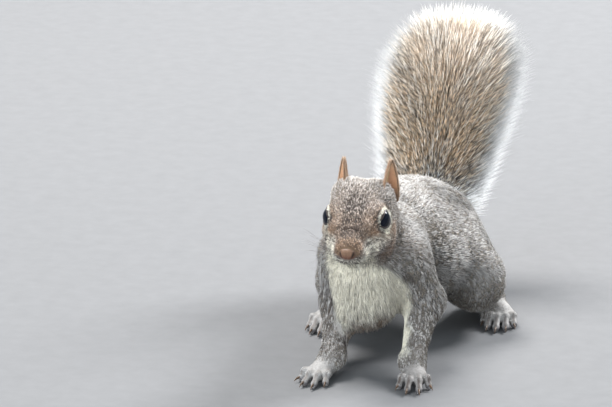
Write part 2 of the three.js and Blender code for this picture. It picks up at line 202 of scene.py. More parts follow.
def rod(a, b, ra, rb, flat=1.0):
    """The distance to the line from a to b, less a radius that runs from ra to rb; flat squeezes Z."""
    squeeze = vec(1, 1, 1 / flat)
    a, d = vec(*a) * squeeze, (vec(*b) - vec(*a)) * squeeze

    def field(p):
        q = p * squeeze - a
        t = np.clip(q @ d / (d @ d), 0, 1)
        return (np.linalg.norm(q - t[..., None] * d, axis=-1) - ra - (rb - ra) * t) * flat
    return field


def melt(d, e, blend):
    """The smaller of two fields, less a fillet: blend h² / 4 where h = 1 - |d - e| / blend."""
    h = np.maximum(blend - np.abs(d - e), 0) / blend
    return np.minimum(d, e) - h * h * blend / 4


def joined(blend, *fields):
    """Runs masses together one after another with a fillet of that width."""
    def field(p):
        d = fields[0](p)
        for f in fields[1:]:
            d = melt(d, f(p), blend)
        return d
    return field


def both(make):
    """A mass on the left and its mirror on the right."""
    return [make(1), make(-1)]


def mid(a, b, t):
    """The place at a share t of the way from a to b."""
    return tuple(vec(*a) * (1 - t) + vec(*b) * t)


head_outline = joined(
    4,
    egg((0, 21, 78.6), (15.8, 18.2, 16)),  # skull
    *both(lambda s: ball((s * 6.6, 23, 86.4), 8.4)),  # crown below the ears
    *both(lambda s: ball((s * 6.2, 3.6, 76.4), 6.2)),  # before the eyes
    rod((0, 8, 75), (0, -5.5, 69.2), 11, 7),  # snout
    ball((0, -8.6, 68.2), 5),
    *both(lambda s: rod((s * 6.8, 1.2, 67.8), (s * 9.2, 14.5, 71), 5.8, 8.6)),  # cheeks
    *both(lambda s: ball((s * 8.6, 9.6, 80.2), 6.6)),  # brows
    *both(lambda s: ball((s * 3.9, -5.6, 66), 4.5)),  # whisker pads
    rod((0, 18, 67), (0, -2, 64.6), 10, 4.8),  # jaw
)
body_outline = joined(
    9,
    egg((0, 47, 48.5), (24, 29, 25.5)),  # chest
    egg((0, 84, 47.5), (29, 42, 28.5)),  # barrel
    egg((1, 117, 43.5), (28, 31, 27)),  # rump
    rod((-1, 30, 71), (0, 48, 56), 15, 21),  # neck
    rod((-1, 18, 60), (0, 24, 34.5), 10.5, 14.5),  # breast
    egg((17, 92, 40), (24, 32, 22)),  # flanks
    egg((-10, 88, 40), (22, 30, 21)),
)


def fore_outline(limb):
    """Upper arm, forearm and hand as rods from joint to joint."""
    return joined(6, rod(limb["shoulder"], limb["elbow"], 13.5, 10.2),
                  rod(limb["elbow"], limb["wrist"], 9.4, 5.3),
                  rod(limb["wrist"], limb["knuckles"], 5, 6.5, 0.72))


def hind_outline(limb):
    """Thigh, shank, heel and foot as rods from joint to joint."""
    return joined(6, rod(limb["hip"], limb["knee"], 20, 16), rod(limb["knee"], limb["ankle"], 13.5, 7),
                  rod(limb["ankle"], limb["heel"], 6.6, 5.6), rod(limb["heel"], limb["ball"], 5.6, 7.2, 0.8))


outline = joined(
    9,
    joined(12, joined(9, body_outline, lambda p: head_outline(body_to_head(p))),
           fore_outline(FORE["left"]), fore_outline(FORE["right"])),
    hind_outline(HIND["left"]),
    hind_outline(HIND["right"]),
)


def in_head(p):
    """1 on the head, 0 behind and below it."""
    return below(p[..., 1], 26, 38) * smooth(p[..., 2], 54, 62)


def coat_depth(p):
    """How far the skin lies under the tips of the coat: least on the feet and the snout."""
    body = 0.35 + 1.5 * smooth(p[..., 2], 6, 36)
    head = 0.4 + 0.7 * smooth(p[..., 1], -10, 26)
    share = in_head(p)
    return body * (1 - share) + head * share


# ------------------------------------------------------------------ the tail's core line
def spline(points, t):
    """A Catmull-Rom curve through the points at even shares t from 0 to 1, and its direction."""
    n = len(points) - 1
    padded = np.vstack([2 * points[0] - points[1], points, 2 * points[-1] - points[-2]])
    i = np.clip((t * n).astype(int), 0, n - 1)
    u = (t * n - i)[..., None]
    a, b, c, d = (padded[i + k] for k in range(4))
    place = 0.5 * (2 * b + (c - a) * u + (2 * a - 5 * b + 4 * c - d) * u**2
                   + (3 * b - a - 3 * c + d) * u**3)
    way = 0.5 * ((c - a) + 2 * (2 * a - 5 * b + 4 * c - d) * u + 3 * (3 * b - a - 3 * c + d) * u**2)
    return place, unit(way)


TAIL_SHARES = np.linspace(0, 1, 400)
TAIL_STEPS = np.diff(spline(TAIL_PATH, TAIL_SHARES)[0], axis=0)
TAIL_LENGTHS = np.append(0, np.cumsum(np.linalg.norm(TAIL_STEPS, axis=1)))


def tail_at(s):
    """Place and direction of the tail's line at a share s of its length."""
    return spline(TAIL_PATH, np.interp(s * TAIL_LENGTHS[-1], TAIL_LENGTHS, TAIL_SHARES))


def tail_half(s):
    """Half width and half depth of the plume: they swell from the root and round off at the tip."""
    end = np.sqrt(np.maximum(0, 1 - np.maximum(0, (s - 0.6) / 0.4) ** 3.2))
    wide = TAIL_WIDE[0] + (TAIL_WIDE[1] - TAIL_WIDE[0]) * smooth(s, 0, 0.75)
    deep = TAIL_DEEP[0] + (TAIL_DEEP[1] - TAIL_DEEP[0]) * smooth(s, 0.1, 0.6)
    return wide * end, deep * end


# ------------------------------------------------------------------ the skin's own form
def toe_line(root, tip, spread):
    """Knuckle, joint and tip of a toe: the joint lies a little past half way and arched up."""
    start = vec(*root) + vec(spread, 0, 0)
    middle = start * 0.45 + vec(*tip) * 0.55
    middle[2] = start[2] + 0.7
    return tuple(start), tuple(middle), tuple(tip)


def limb_toes(limb, side):
    """The line of each toe of a hand or foot: knuckle, joint and tip."""
    hand = limb == "hand"
    data = (FORE if hand else HIND)[side]
    root, step = (data["knuckles"], 3.0) if hand else (data["ball"], 2.8)
    n = len(data["toes"])
    return [toe_line(root, tip, (i - (n - 1) / 2) * -step * SIDES[side])
            for i, tip in enumerate(data["toes"])]


def toe_mass(line, r):
    """Two tapered rods with a ball at the joint and one in the toe's pad."""
    start, middle, tip = line
    return joined(0.9, rod(start, middle, r, r * 0.95), rod(middle, tip, r * 0.95, r * 0.72),
                  ball(mid(middle, tip, 0.82), r * 0.9), ball(middle, r * 1.08))


def paws():
    """All toes run together, with a web between their roots."""
    masses = []
    for side in SIDES:
        for limb, radius in (("hand", 1.75), ("foot", 1.95)):
            masses += [toe_mass(line, radius) for line in limb_toes(limb, side)]
    return joined(0.7, *masses)


def toe_gap(p):
    """How far each place lies, seen from above, from the nearest toe's middle line."""
    lines = [line for side in SIDES for limb in ("hand", "foot") for line in limb_toes(limb, side)]
    flat = vec(1, 1, 0)
    return np.minimum.reduce([rod(vec(*a) * flat, vec(*c) * flat, 0, 0)(p * flat) for a, _, c in lines])


def tail_core():
    """The tail itself, inside its plume: a chain of rods along its line that thin towards the tip."""
    stations = np.linspace(0.0, 0.84, 11)
    places, radii = tail_at(stations)[0], 6.2 - 4.0 * stations
    return joined(2, *[rod(*places[i:i + 2], *radii[i:i + 2]) for i in range(len(stations) - 1)])


def eye_axes(s):
    """The middle of an eye, the way it looks, and the ways towards the nose and up its opening."""
    look = unit(on_side(EYE_LOOK, s))
    along = unit(np.cross(look, UP)) * s
    over = unit(np.cross(along, look)) * s
    return on_side(EYE, s), look, along, over


def eye_slit(q, s):
    """About the distance to the almond that the lids leave open, in the plane of the lids."""
    centre, _, along, over = eye_axes(s)
    d = q - centre
    a, b = d @ along, d @ over
    b = b + EYE_SLANT * a
    return (np.sqrt((a / EYE_OPENING[0]) ** 2 + (b / EYE_OPENING[1]) ** 2) - 1) * 4.0


def folded(q):
    """The head's points with the right side laid over the left."""
    return np.concatenate([np.abs(q[..., :1]), q[..., 1:]], -1)


lips = joined(0.4, rod((0, -10.6, 64.6), (0, -9.6, 62.9), 0.4, 0.4),
              rod((0, -9.9, 62.8), (3.6, -8.6, 61.9), 0.45, 0.45),
              rod((3.6, -8.6, 61.9), (7.2, -2.5, 62.6), 0.45, 0.3))


def crease(q):
    """1 in the two folds across the bridge of the snout and under the eye, 0 a millimetre off them."""
    side, y, z = q.T
    bridge = np.exp(-((z - 77.6 + 0.22 * side) / 0.42) ** 2) * below(side, 2.0, 5.5) * (y < 0)
    under = np.exp(-((z - 71.6 - 0.25 * y) / 0.6) ** 2) * smooth(side, 6, 8) * below(y, 3, 9)
    return bridge + 0.6 * under


def face_details(q, d):
    """Adds the lids, whisker pads, lips, chin and nostril wings to the head's skin, in head axes."""
    for s in (1, -1):
        centre, look, *_ = eye_axes(s)
        away = np.linalg.norm(q - centre, axis=-1)
        d = melt(d, away - EYE_RADIUS - 0.3, 1.4)
        hole = np.maximum.reduce([eye_slit(q, s) - 0.2, EYE_RADIUS - 0.9 - away,
                                  1.0 - (q - centre) @ look])
        d = -melt(-d, hole, 0.4)
    q = folded(q)
    d = melt(d, joined(1, rod((0, -7.8, 66.0), (0, -10.6, 66.4), 3.2, 2.4),
                       ball((1.9, -9.0, 64.6), 2.0))(q), 1.2)
    d = d + 0.5 * crease(q)
    groove = lips(q)
    h = np.maximum(0.5 - np.abs(d + groove), 0) / 0.5
    return np.maximum(d, -groove) + h * h * 0.125


CORE = tail_core()
PAWS = paws()


def skin_field(p):
    """The skin: the outline less the coat's depth, with the tail's core, toes and face on it."""
    d = outline(p) + coat_depth(p)
    d = melt(d, CORE(p), 5)
    low = p[..., 2] < 14
    if low.any():
        d[low] = melt(d[low], PAWS(p[low]), 1.3)
    face = (p[..., 2] > 55) & (p[..., 1] < 24)
    if face.any():
        d[face] = face_details(body_to_head(p[face]), d[face])
    return np.maximum(d, -p[..., 2])


# ------------------------------------------------------------------ from a field to a surface
def sampled(field, low, cell, count):
    """The field on a grid. Far from the surface only one value in each block of 4 x 4 x 4 is worked out."""
    blocks = -(-count // 4)
    rough = field(low + cell * 1.5 + 4 * cell * np.moveaxis(np.indices(blocks), 0, -1))
    value = rough.repeat(4, 0).repeat(4, 1).repeat(4, 2)[:count[0], :count[1], :count[2]].copy()
    near = np.abs(value) < 7 * cell
    value[near] = field(low + cell * np.argwhere(near))
    return value


def net(field, low, high, cell):
    """A closed net of four-sided faces: one point in each cell that the surface crosses, and one face
    round each edge of the grid that it crosses."""
    low = vec(*low)
    count = np.ceil((vec(*high) - low) / cell).astype(int) + 1
    inside = sampled(field, low, cell, count) < 0
    for axis in range(3):
        np.moveaxis(inside, axis, 0)[[0, -1]] = False
    corners = sum(inside[i:i + count[0] - 1, j:j + count[1] - 1, k:k + count[2] - 1].astype(np.int8)
                  for i in (0, 1) for j in (0, 1) for k in (0, 1))
    mixed = (corners > 0) & (corners < 8)
    number = np.full(mixed.shape, -1)
    number[mixed] = np.arange(mixed.sum())
    points = low + cell * (np.argwhere(mixed) + 0.5)
    quads = []
    for axis in range(3):
        u, v = (axis + 1) % 3, (axis + 2) % 3
        first = np.take(inside, np.arange(count[axis] - 1), axis)
        where = np.argwhere(first != np.take(inside, np.arange(1, count[axis]), axis))
        ring = []
        for du, dv in ((0, 0), (1, 0), (1, 1), (0, 1)):
            cell_at = where.copy()
            cell_at[:, u] -= du
            cell_at[:, v] -= dv
            ring.append(number[tuple(cell_at.T)])
        ring = np.stack(ring, 1)
        turned = ~first[tuple(where.T)]
        ring[turned] = ring[turned][:, ::-1]
        quads.append(ring)
    return points, np.concatenate(quads)


def slope(field, p, e=0.12):
    """The field's steepest way up, by differences over a short step each way."""
    return np.stack([field(p + e * k) - field(p - e * k) for k in np.eye(3)], -1) / (2 * e)


def settled(field, p, reach, rounds):
    """Slides points to the surface by steps of -d g / g², for the field's value d and its slope g, none
    longer than reach."""
    for _ in range(rounds):
        g = slope(field, p)
        step = -field(p)[:, None] * g / np.maximum((g * g).sum(1), 0.1)[:, None]
        far = np.linalg.norm(step, axis=1, keepdims=True)
        p = p + step * np.minimum(1, reach / np.maximum(far, 1e-9))
    return p


def relaxed(p, edges, share):
    """Moves each point a share of the way to the mean of its neighbours."""
    a, b = edges[:, 0], edges[:, 1]
    n = np.bincount(a, minlength=len(p)) + np.bincount(b, minlength=len(p))
    total = np.stack([np.bincount(a, p[b, k], len(p)) + np.bincount(b, p[a, k], len(p))
                      for k in range(3)], -1)
    return p + share * (total / np.maximum(n, 1)[:, None] - p)


def edge_table(mesh):
    """The two points of each edge."""
    pairs = np.empty(len(mesh.edges) * 2, int)
    mesh.edges.foreach_get("vertices", pairs)
    return pairs.reshape(-1, 2)


def places(mesh):
    """The places of a mesh's points."""
    co = np.empty(len(mesh.vertices) * 3)
    mesh.vertices.foreach_get("co", co)
    return co.reshape(-1, 3)


def put_places(mesh, p):
    """Moves a mesh's points to these places."""
    mesh.vertices.foreach_set("co", np.ascontiguousarray(p, dtype=np.float32).ravel())
    mesh.update()


def round_off(mesh):
    """Shades all of a mesh's faces smooth."""
    mesh.polygons.foreach_set("use_smooth", np.ones(len(mesh.polygons), bool))


def refine(mesh, wanted):
    """Cuts in four the faces whose middles are wanted."""
    bm = bmesh.new()
    bm.from_mesh(mesh)
    middle = np.array([f.calc_center_median()[:] for f in bm.faces])
    pick = wanted(middle)
    edges = {e for f, keep in zip(bm.faces, pick) if keep for e in f.edges}
    bmesh.ops.subdivide_edges(bm, edges=list(edges), cuts=1, use_grid_fill=True)
    bm.to_mesh(mesh)
    bm.free()


def eased(mesh, share, reach):
    """Slides a mesh's points to the skin's surface, evens them out, and slides them back."""
    p = settled(skin_field, places(mesh), reach, 2)
    p = relaxed(p, edge_table(mesh), share)
    put_places(mesh, settled(skin_field, p, reach, 2))


def detailed(p):
    """The head and the feet."""
    q = body_to_head(p)
    return ((q[:, 1] < 30) & (q[:, 2] > 56)) | (p[:, 2] < 9)


def finest(p):
    """The eyes, the nose and the mouth."""
    q = body_to_head(p)
    eye = np.minimum(*[np.linalg.norm(q - on_side(EYE, s), axis=1) for s in (1, -1)])
    return (eye < 8) | ((q[:, 1] < -3) & (q[:, 2] < 79) & (q[:, 2] > 58))


def make_skin():
    """One closed skin in drafting millimetres, netted, slid to its surface, and cut finer twice."""
    points, quads = net(skin_field, *SKIN_SPACE, NET_CELL)
    mesh = bpy.data.meshes.new("skin")
    mesh.from_pydata(points.tolist(), [], quads.tolist())
    eased(mesh, 0.5, 0.8)
    for wanted, reach in ((detailed, 0.5), (finest, 0.3)):
        refine(mesh, wanted)
        eased(mesh, 0.35, reach)
    return mesh


# ------------------------------------------------------------------ markings
def body_masks(p):
    """The marks of the body, each from 0 to 1: the cream bib with ragged edges, the dark margin on its left,
    the brown patch low on its middle (brown fur with painted shadow under the chest), the pale belly, and
    how dark the toes' tops and arms are, the left arm's darkness being painted shade."""
    x, y, z = p.T
    low = below(z, 34, 50)
    ragged = 2.2 * wander(p, 3.5, 11)
    edge = 20 + 1.5 * low - 13 * smooth(z, 41, 61)
    left_side = smooth(edge - x + ragged, -2.5, 2.5)
    right_side = smooth(x + 17 - 3.5 * low + ragged, -2.5, 2.5)
    wrists = smooth(z - 9 * below(x, -6, 2), 8, 18)
    bib = left_side * right_side * below(y, 30, 44) * below(z, 58, 64) * wrists
    # painted shade: the left arm is darker where it lies in shade
    left_arm_shade = 0.22 * (x > 6) * below(z, 24, 44)
    right_arm = 0.30 * (x < -8) * below(z, 36, 48) * smooth(z, 8, 14)
    return SimpleNamespace(
        bib=bib,
        # brown fur with painted shadow under the chest: the patch low on its middle
        middle=around(x, 3, 5, 15) * below(z, 28, 42) * around(y, 30, 14, 24),
        belly=below(z, 21, 30) * around(x, 0, 16, 26) * smooth(y, 20, 40),
        margin=around(x - edge, 2.5, 1, 3.5) * below(y, 24, 30) * smooth(z, 26, 36),
        toe_tops=0.55 * below(toe_gap(p), 0.4, 1.0) * below(z, 5.5, 8),
        arms=(left_arm_shade + right_arm) * below(y, 52, 60) * (1 - bib))


def face_masks(q):
    """The marks of the face, each from 0 to 1, in the head's axes with the right side folded over the left:
    the rusty tip of the snout and the painted shade on its top, the pale chin, the ring round the eye and
    the brown line round that, whose darkness is painted shade under the lids and brow, the pads, the painted
    shade in the folds across the snout, and the warm and dark places of cheek, snout and brow."""
    side, y, z = q.T
    centre, _, along, over = eye_axes(1)
    slit, eye = eye_slit(q, 1), np.linalg.norm(q - centre, axis=1)
    upper = smooth((q - centre) @ over, 0.5, 3.5)
    front = np.maximum(upper, smooth((q - centre) @ along, 0.0, 3.0))
    tip = (q - SNOUT_TIP) / np.where(q[:, 2:] < 67.2, vec(1, 1, 0.5), vec(1, 1, 0.95))
    rust = close_to(tip, 0, 4.0, 7.6)
    ring = below(slit, 2.5 - 1.2 * front, 3.5 - 1.4 * front) * below(eye, 8.5, 11)
    corner = (q - centre - 6.0 * along + 1.2 * over) * vec(0.8, 1, 1)
    return SimpleNamespace(
        rust=rust, ring=ring, front=front,
        # the rim round the ring is brown fur whose darkness is painted shade under the lids and brow
        rim=below(slit, 2.2, 3.6) * (1 - ring) * (eye < 10),
        corner=close_to(corner, 0, 1.4, 4.6),
        chin=below(side, 7, 11) * below(z, 64.2, 66.2) * below(y, 10, 24) * smooth(z, 50, 56),
        pads=around(z, 65.5, 1.5, 5.5) * below(y, 0, 10) * smooth(side, 5.4, 8.4),
        under=around(z - 0.20 * y, 70.5, 1, 5) * smooth(side, 5, 8) * below(y, 4, 18),
        cheek=below(eye, 9, 15) * below(z, 74, 79) * smooth(z, 68, 73),
        spot=close_to(q, vec(16, 14, 63.5), 3.5, 8),
        snout=around(side, 7.5, 1.5, 4) * below(y, -2, 8) * smooth(z, 69, 72.5),
        bridge=below(side, 3, 7) * below(y, -2, 4) * smooth(z, 68, 71.5),
        blaze=below(side, 2, 8) * below(y, 4, 17) * (1 - 0.6 * rust),
        face=below(y, 6, 20),
        # painted shade: the top of the rusty snout is darkened against the strong light from above
        rust_top_shade=smooth(y + 0.9 * (z - 72), -8, 2) * rust,
        streak=around(y - 3.5 - 0.3 * (68 - z), 0, 0.3, 1.3) * around(z, 67.5, 2, 5) * (side > 7),
        lips=smooth(-lips(q), -0.6, -0.2) * (y < 0),
        # painted shade: the coat is darkened in the folds across the snout and under the eye
        folds=crease(q) * (y < 2))


def markings(p):
    """How warm, pale and dark the coat is at each place, each from 0 to 1: weighted sums of the masks of
    the body and the face, with each face's colours kept to the head."""
    q = folded(body_to_head(p))
    b, f, head = body_masks(p), face_masks(q), in_head(p)
    pale = b.bib + 0.75 * f.chin + b.belly + (1.0 - 0.22 * f.front) * f.ring + 0.30 * f.pads + 0.44 * f.under
    pale = np.clip(pale, 0, 1) * (1 - f.rust) * (1 - 0.95 * b.middle)
    warm = (f.rust + 0.60 * f.cheek + 0.85 * f.corner + 0.5 * f.ring * f.front + 0.28 * f.snout
            + 0.75 * f.spot + 0.35 * f.rim + 0.30 * f.bridge + 0.14 + 0.24 * f.face)
    warm = head * np.clip(warm, 0, 1) + (1 - head) * (0.06 + 0.45 * b.middle + 0.6 * f.spot)
    # dark holds painted shade too: the top of the rusty snout, the folds across the snout, and part of the
    # rim round the eye's ring
    dark = (0.9 * f.corner + 0.35 * f.rust_top_shade + 0.15 * f.rust + 0.50 * f.blaze + 0.25 * f.rim + 0.6 * f.folds
            + 0.9 * f.streak + 0.25 * f.spot + 0.16 * f.face * (1 - f.rust))
    # the arms' mark carries the painted shade of the left arm
    dark = (head * np.clip(dark, 0, 1) + b.arms + b.toe_tops + 0.6 * f.lips
            # the chest's middle patch is dark partly as painted shadow under the chest
            + (0.4 * b.margin + 0.12 * b.middle) * (1 - head))
    return np.stack([warm * (1 - 0.7 * pale), pale, np.clip(dark, 0, 1)], -1)


def put_colours(mesh, name, rgb):
    """Keeps three numbers for each point of a mesh under a name."""
    rgba = np.ones((len(rgb), 4), np.float32)
    rgba[:, :3] = rgb
    layer = mesh.attributes.new(name, "FLOAT_COLOR", "POINT")
    layer.data.foreach_set("color", rgba.ravel())


# ------------------------------------------------------------------ the lie of the coat
def lie_rows():
    """Each row is a line of the body along which the hair runs: from, to, the body's radius there, and
    the hair's length and width in millimetres, its lift off the skin, and the locks in 1 mm²."""
    rows = []

    def add(a, b, r, *look):
        rows.append((vec(*a), vec(*b), r) + look)

    def add_both(a, b, r, *look):
        add(a, b, r, *look)
        add(on_side(a, -1), on_side(b, -1), r, *look)

    add((0, -13, 68), (0, -3, 75.5), 3, 1.5, 0.20, 0.42, 11.0)
    add((0, -3, 75), (0, 8, 85), 4, 2.4, 0.21, 0.46, 10.5)
    add((0, 8, 84), (0, 24, 93), 5, 2.9, 0.22, 0.42, 8.0)
    add((0, 24, 86), (0, 42, 74), 9, 5.0, 0.26, 0.44, 4.6)
    add_both((3.5, -9, 66), (9, 10, 71), 3, 2.2, 0.20, 0.40, 10.5)
    add_both((7, -2, 75), (14, 12, 84), 2, 2.1, 0.21, 0.45, 10.5)
    add_both((9, 8, 70), (15, 28, 63), 6, 3.8, 0.22, 0.36, 6.8)
    add((0, -7, 62), (0, 14, 58), 3, 2.2, 0.21, 0.28, 6.5)
    add((0, 14, 60), (0, 19, 38), 9, 9.0, 0.25, 0.36, 3.8)
    add((0, 22, 34), (0, 40, 20), 8, 6.5, 0.32, 0.40, 2.6)
    add_both((14, 26, 62), (22, 48, 46), 8, 6.5, 0.24, 0.36, 3.6)
    add((0, 44, 72), (0, 84, 77), 9, 7.0, 0.24, 0.30, 3.6)
    add((0, 84, 76), (1, 120, 70), 9, 7.5, 0.25, 0.28, 3.4)
    add((1, 120, 68), (1, 142, 50), 9, 8.0, 0.27, 0.30, 3.0)
    add_both((24, 52, 52), (30, 92, 44), 7, 7.0, 0.24, 0.30, 3.2)
    add_both((24, 92, 60), (30, 122, 44), 7, 7.5, 0.25, 0.30, 2.8)
    add((0, 40, 22), (0, 118, 18), 8, 5.5, 0.34, 0.32, 1.8)
    for data in FORE.values():
        add(data["shoulder"], data["elbow"], 10, 5.2, 0.26, 0.34, 4.2)
        add(data["elbow"], data["wrist"], 6, 3.6, 0.24, 0.32, 4.4)
        add(data["wrist"], data["knuckles"], 4, 2.1, 0.22, 0.24, 5.4)
        for tip in data["toes"]:
            add(data["knuckles"], tip, 1.8, 1.3, 0.20, 0.10, 7.0)
    for data in HIND.values():
        add(vec(*data["hip"]) + vec(0, -8, 14), vec(*data["knee"]) + vec(0, 8, -8), 12, 7.0, 0.26, 0.32, 2.6)
        add(data["knee"], data["ankle"], 8, 4.6, 0.28, 0.32, 2.2)
        add(data["heel"], data["ball"], 5, 2.1, 0.24, 0.20, 3.1)
        for tip in data["toes"]:
            add(data["ball"], tip, 1.9, 1.3, 0.20, 0.10, 5.0)
    return rows


LIE = lie_rows()


def lie_at(p):
    """The way the hair runs, and its length, width, lift and number, as the nearest lines of the body
    blended by how near each is: weight exp(-distance / 2)."""
    near = np.stack([rod(a, b, r, r)(p) for a, b, r, *_ in LIE], -1)
    weight = np.exp(-(near - near.min(1, keepdims=True)) / 2.0)
    weight /= weight.sum(1, keepdims=True)
    ways = np.stack([unit(b - a) for a, b, *_ in LIE])
    looks = np.array([row[3:] for row in LIE])
    return weight @ ways, weight @ looks


def wander(p, scale, seed):
    """A smooth wave pattern mostly between -1 and 1: 1.6 times the mean of four sines, with ways and
    shifts set by the seed."""
    r = np.random.default_rng(seed)
    ways, shift = r.normal(size=(4, 3)) / scale, r.uniform(0, 6.28, 4)
    return np.sin(p @ ways.T + shift).mean(1) * 1.6


def clumps(p, size, run=None):
    """Which clump each place falls in, and each clump's middle. Clumps are the cells of a bent grid of
    that size, four times as long the way that run points."""
    q = p if run is None else p - 0.75 * (p * run).sum(1, keepdims=True) * run
    cell = np.floor(q / np.reshape(size, (-1, 1)) + 0.6 * wander(p, 4, 3)[:, None]).astype(int)
    which = np.unique(cell, axis=0, return_inverse=True)[1].ravel()
    count = np.bincount(which)
    return which, np.stack([np.bincount(which, p[:, k]) / count for k in range(3)], -1)[which]


def shared(which, share):
    """A random number for each lock, of which a share is the same for all locks of one clump."""
    return share * chance.random(which.max() + 1)[which] + (1 - share) * chance.random(len(which))


# ------------------------------------------------------------------ locks of hair
def lock_faces(rings):
    """The triangles of one lock. Its corners are numbered ring by ring, and then its root and its tip."""
    root, tip = 3 * rings, 3 * rings + 1
    faces = []
    for k in range(3):
        j = (k + 1) % 3
        faces += [(k, root, j), (tip - 4 + k, tip - 4 + j, tip)]
        for r in range(0, 3 * rings - 3, 3):
            faces += [(r + k, r + j, r + j + 3), (r + k, r + j + 3, r + k + 3)]
    return np.array(faces)


def triangle_mesh(name, points, corner):
    """A smooth mesh from its points and from the corners of its triangles in one row."""
    mesh = bpy.data.meshes.new(name)
    mesh.vertices.add(len(points))
    mesh.vertices.foreach_set("co", to_frame(points).astype(np.float32).ravel())
    mesh.loops.add(len(corner))
    mesh.loops.foreach_set("vertex_index", corner.astype(np.int32))
    mesh.polygons.add(len(corner) // 3)
    mesh.polygons.foreach_set("loop_start", np.arange(0, len(corner), 3, dtype=np.int32))
    round_off(mesh)
    mesh.update(calc_edges=True)
    return mesh


def grown(name, stations, width, strand, marks, uv, thick=0.6):
    """Closed, tapered, three-sided locks. stations is (locks, m, 3): the first and last places are the
    lock's two points, and a ring of three corners lies round each place between. Corner k of a ring is
    the place + width / 2 (cos a side + thick sin a over), a = 120° k + 90°, where side is square to
    the lock and to the skin."""
    n, m = stations.shape[:2]
    rings = m - 2
    way = unit(np.gradient(stations, axis=1))[:, 1:-1]
    spin = chance.uniform(-0.5, 0.5, n)[:, None, None]
    side = unit(np.cross(way, strand["normal"][:, None]) + 1e-6)
    over = np.cross(side, way)
    side, over = np.cos(spin) * side + np.sin(spin) * over, np.cos(spin) * over - np.sin(spin) * side
    taper = np.linspace(1.0, 0.7, rings) if rings > 1 else np.ones(1)
    half = (0.5 * width[:, None] * taper)[..., None]
    body = np.stack([stations[:, 1:-1] + half * (np.cos(a) * side + thick * np.sin(a) * over)
                     for a in np.radians([90, 210, 330])], 2).reshape(n, rings * 3, 3)
    points = np.concatenate([body, stations[:, :1], stations[:, -1:]], 1)
    count = points.shape[1]
    corner = (np.arange(n)[:, None, None] * count + lock_faces(rings)).reshape(-1)
    mesh = triangle_mesh(name, points.reshape(-1, 3), corner)
    along = np.concatenate([np.repeat(np.linspace(0, 1, m)[1:-1], 3), [0.0, 1.0]])
    across = np.append(np.tile([0.0, 0.5, 1.0], rings), [0.5, 0.5])
    look = np.broadcast_arrays(along, strand["a"][:, None], strand["b"][:, None])
    put_colours(mesh, "strand", np.stack(look, -1).reshape(-1, 3))
    put_colours(mesh, "marks", np.repeat(marks, count, axis=0))
    place = np.clip(uv, 0.004, 0.996)[:, None] + UV_PATCH * (np.stack([across, along], -1) - 0.5)
    layer = mesh.uv_layers.new(name="OFBake")
    layer.data.foreach_set("uv", place.reshape(-1, 2)[corner].astype(np.float32).ravel())
    return shown(name, mesh)


def sown(mesh):
    """Roots on the skin: places chosen evenly by area and by how many locks there are in 1 mm²."""
    mesh.calc_loop_triangles()
    tri = np.empty(len(mesh.loop_triangles) * 3, int)
    mesh.loop_triangles.foreach_get("vertices", tri)
    p = places(mesh)[tri.reshape(-1, 3)]
    middle = p.mean(1)
    area = np.linalg.norm(np.cross(p[:, 1] - p[:, 0], p[:, 2] - p[:, 0]), axis=1) / 2 * GROWTH**2
    wanted = area * lie_at(middle)[1][:, 3] * (COAT_FILL if FINE else 0.5) * bare(middle)
    total = int(wanted.sum())
    pick = np.searchsorted(np.cumsum(wanted) / wanted.sum(), chance.random(total)).clip(0, len(p) - 1)
    u, v = chance.random((2, total))
    turn = u + v > 1
    u[turn], v[turn] = 1 - u[turn], 1 - v[turn]
    a, b, c = p[pick].transpose(1, 0, 2)
    roots = a + u[:, None] * (b - a) + v[:, None] * (c - a)
    return roots, unit(slope(skin_field, roots))


def bare(p):
    """1 where hair grows, 0 on the lids' edges, the nose, the soles and the tail's core."""
    q = body_to_head(p)
    keep = np.ones(len(p))
    for s in (1, -1):
        centre, look, *_ = eye_axes(s)
        facing = (q - centre) @ look > 0.5
        keep[facing & (eye_slit(q, s) < 0.32)] = 0
    keep[np.linalg.norm((q - NOSE) / (NOSE_HALF + 0.15), axis=1) < 1] = 0
    keep[lips(folded(q)) < 0.25] = 0
    keep[p[:, 2] < 0.5] = 0
    keep[p[:, 1] > 150] *= (CORE(p[p[:, 1] > 150]) > 1.2)
    return keep


def region_of(p):
    """The number of the coat piece that each root belongs to, as an index of COAT_PIECES."""
    x, y, z = p.T
    front = body_to_head(p)[:, 1]
    part = np.full(len(p), COAT_PARTS.index("shoulder"))
    rules = [("hip", y > 78), ("leg", (z < 27) & (y > 50)),
             ("arm", (y < 62) & (z < 30) & ((x > 12) | (x < -5))),
             ("chest", (y < 34) & (z <= 60) & (z > 22)),
             ("crown", (front < 31) & (z > 57)), ("face", (front < 9) & (z > 57))]
    for name, here in rules:
        part[here] = COAT_PARTS.index(name)
    return 2 * part + (x > 0)


def unrolled(p, upright):
    """Round a piece's own middle line for u and along it for v: an unwrap of the skin as a tube, which
    stands up on the arms, legs and chest and lies along Y on the rest."""
    low, high = p.min(0), p.max(0)
    q = p - (low + high) / 2
    line, across = (2, 1) if upright else (1, 2)
    u = np.arctan2(q[:, across], q[:, 0])
    v = (p[:, line] - low[line]) / (high[line] - low[line])
    return np.stack([u / (2 * np.pi) + 0.5, v], -1)


def combed(roots, normal, way):
    """The way each lock runs: the lie of the coat with slow waves and a little chance across it, drawn
    down on the body, and laid flat on the skin."""
    sweep = wander(roots, 9.0, 5)[:, None] * np.cross(normal, way) * 0.28
    way = way + sweep + chance.normal(0, 0.13, roots.shape)
    way[:, 2] -= 0.16 * (1 - in_head(roots))
    return unit(way - (way * normal).sum(1, keepdims=True) * normal)


def beside_lids(q):
    """1 where hair beside the lids stays short, in the head's axes: nearer to them below and in front."""
    _, _, along, over = eye_axes(1)
    lid = 0.55 * smooth((q - EYE) @ over, 0.5, 3.5) + 0.3 * smooth((q - EYE) @ along, 0, 3)
    return smooth(-eye_slit(q, 1), lid - 2.7, lid - 1.6) * (np.linalg.norm(q - EYE, axis=1) < 10)


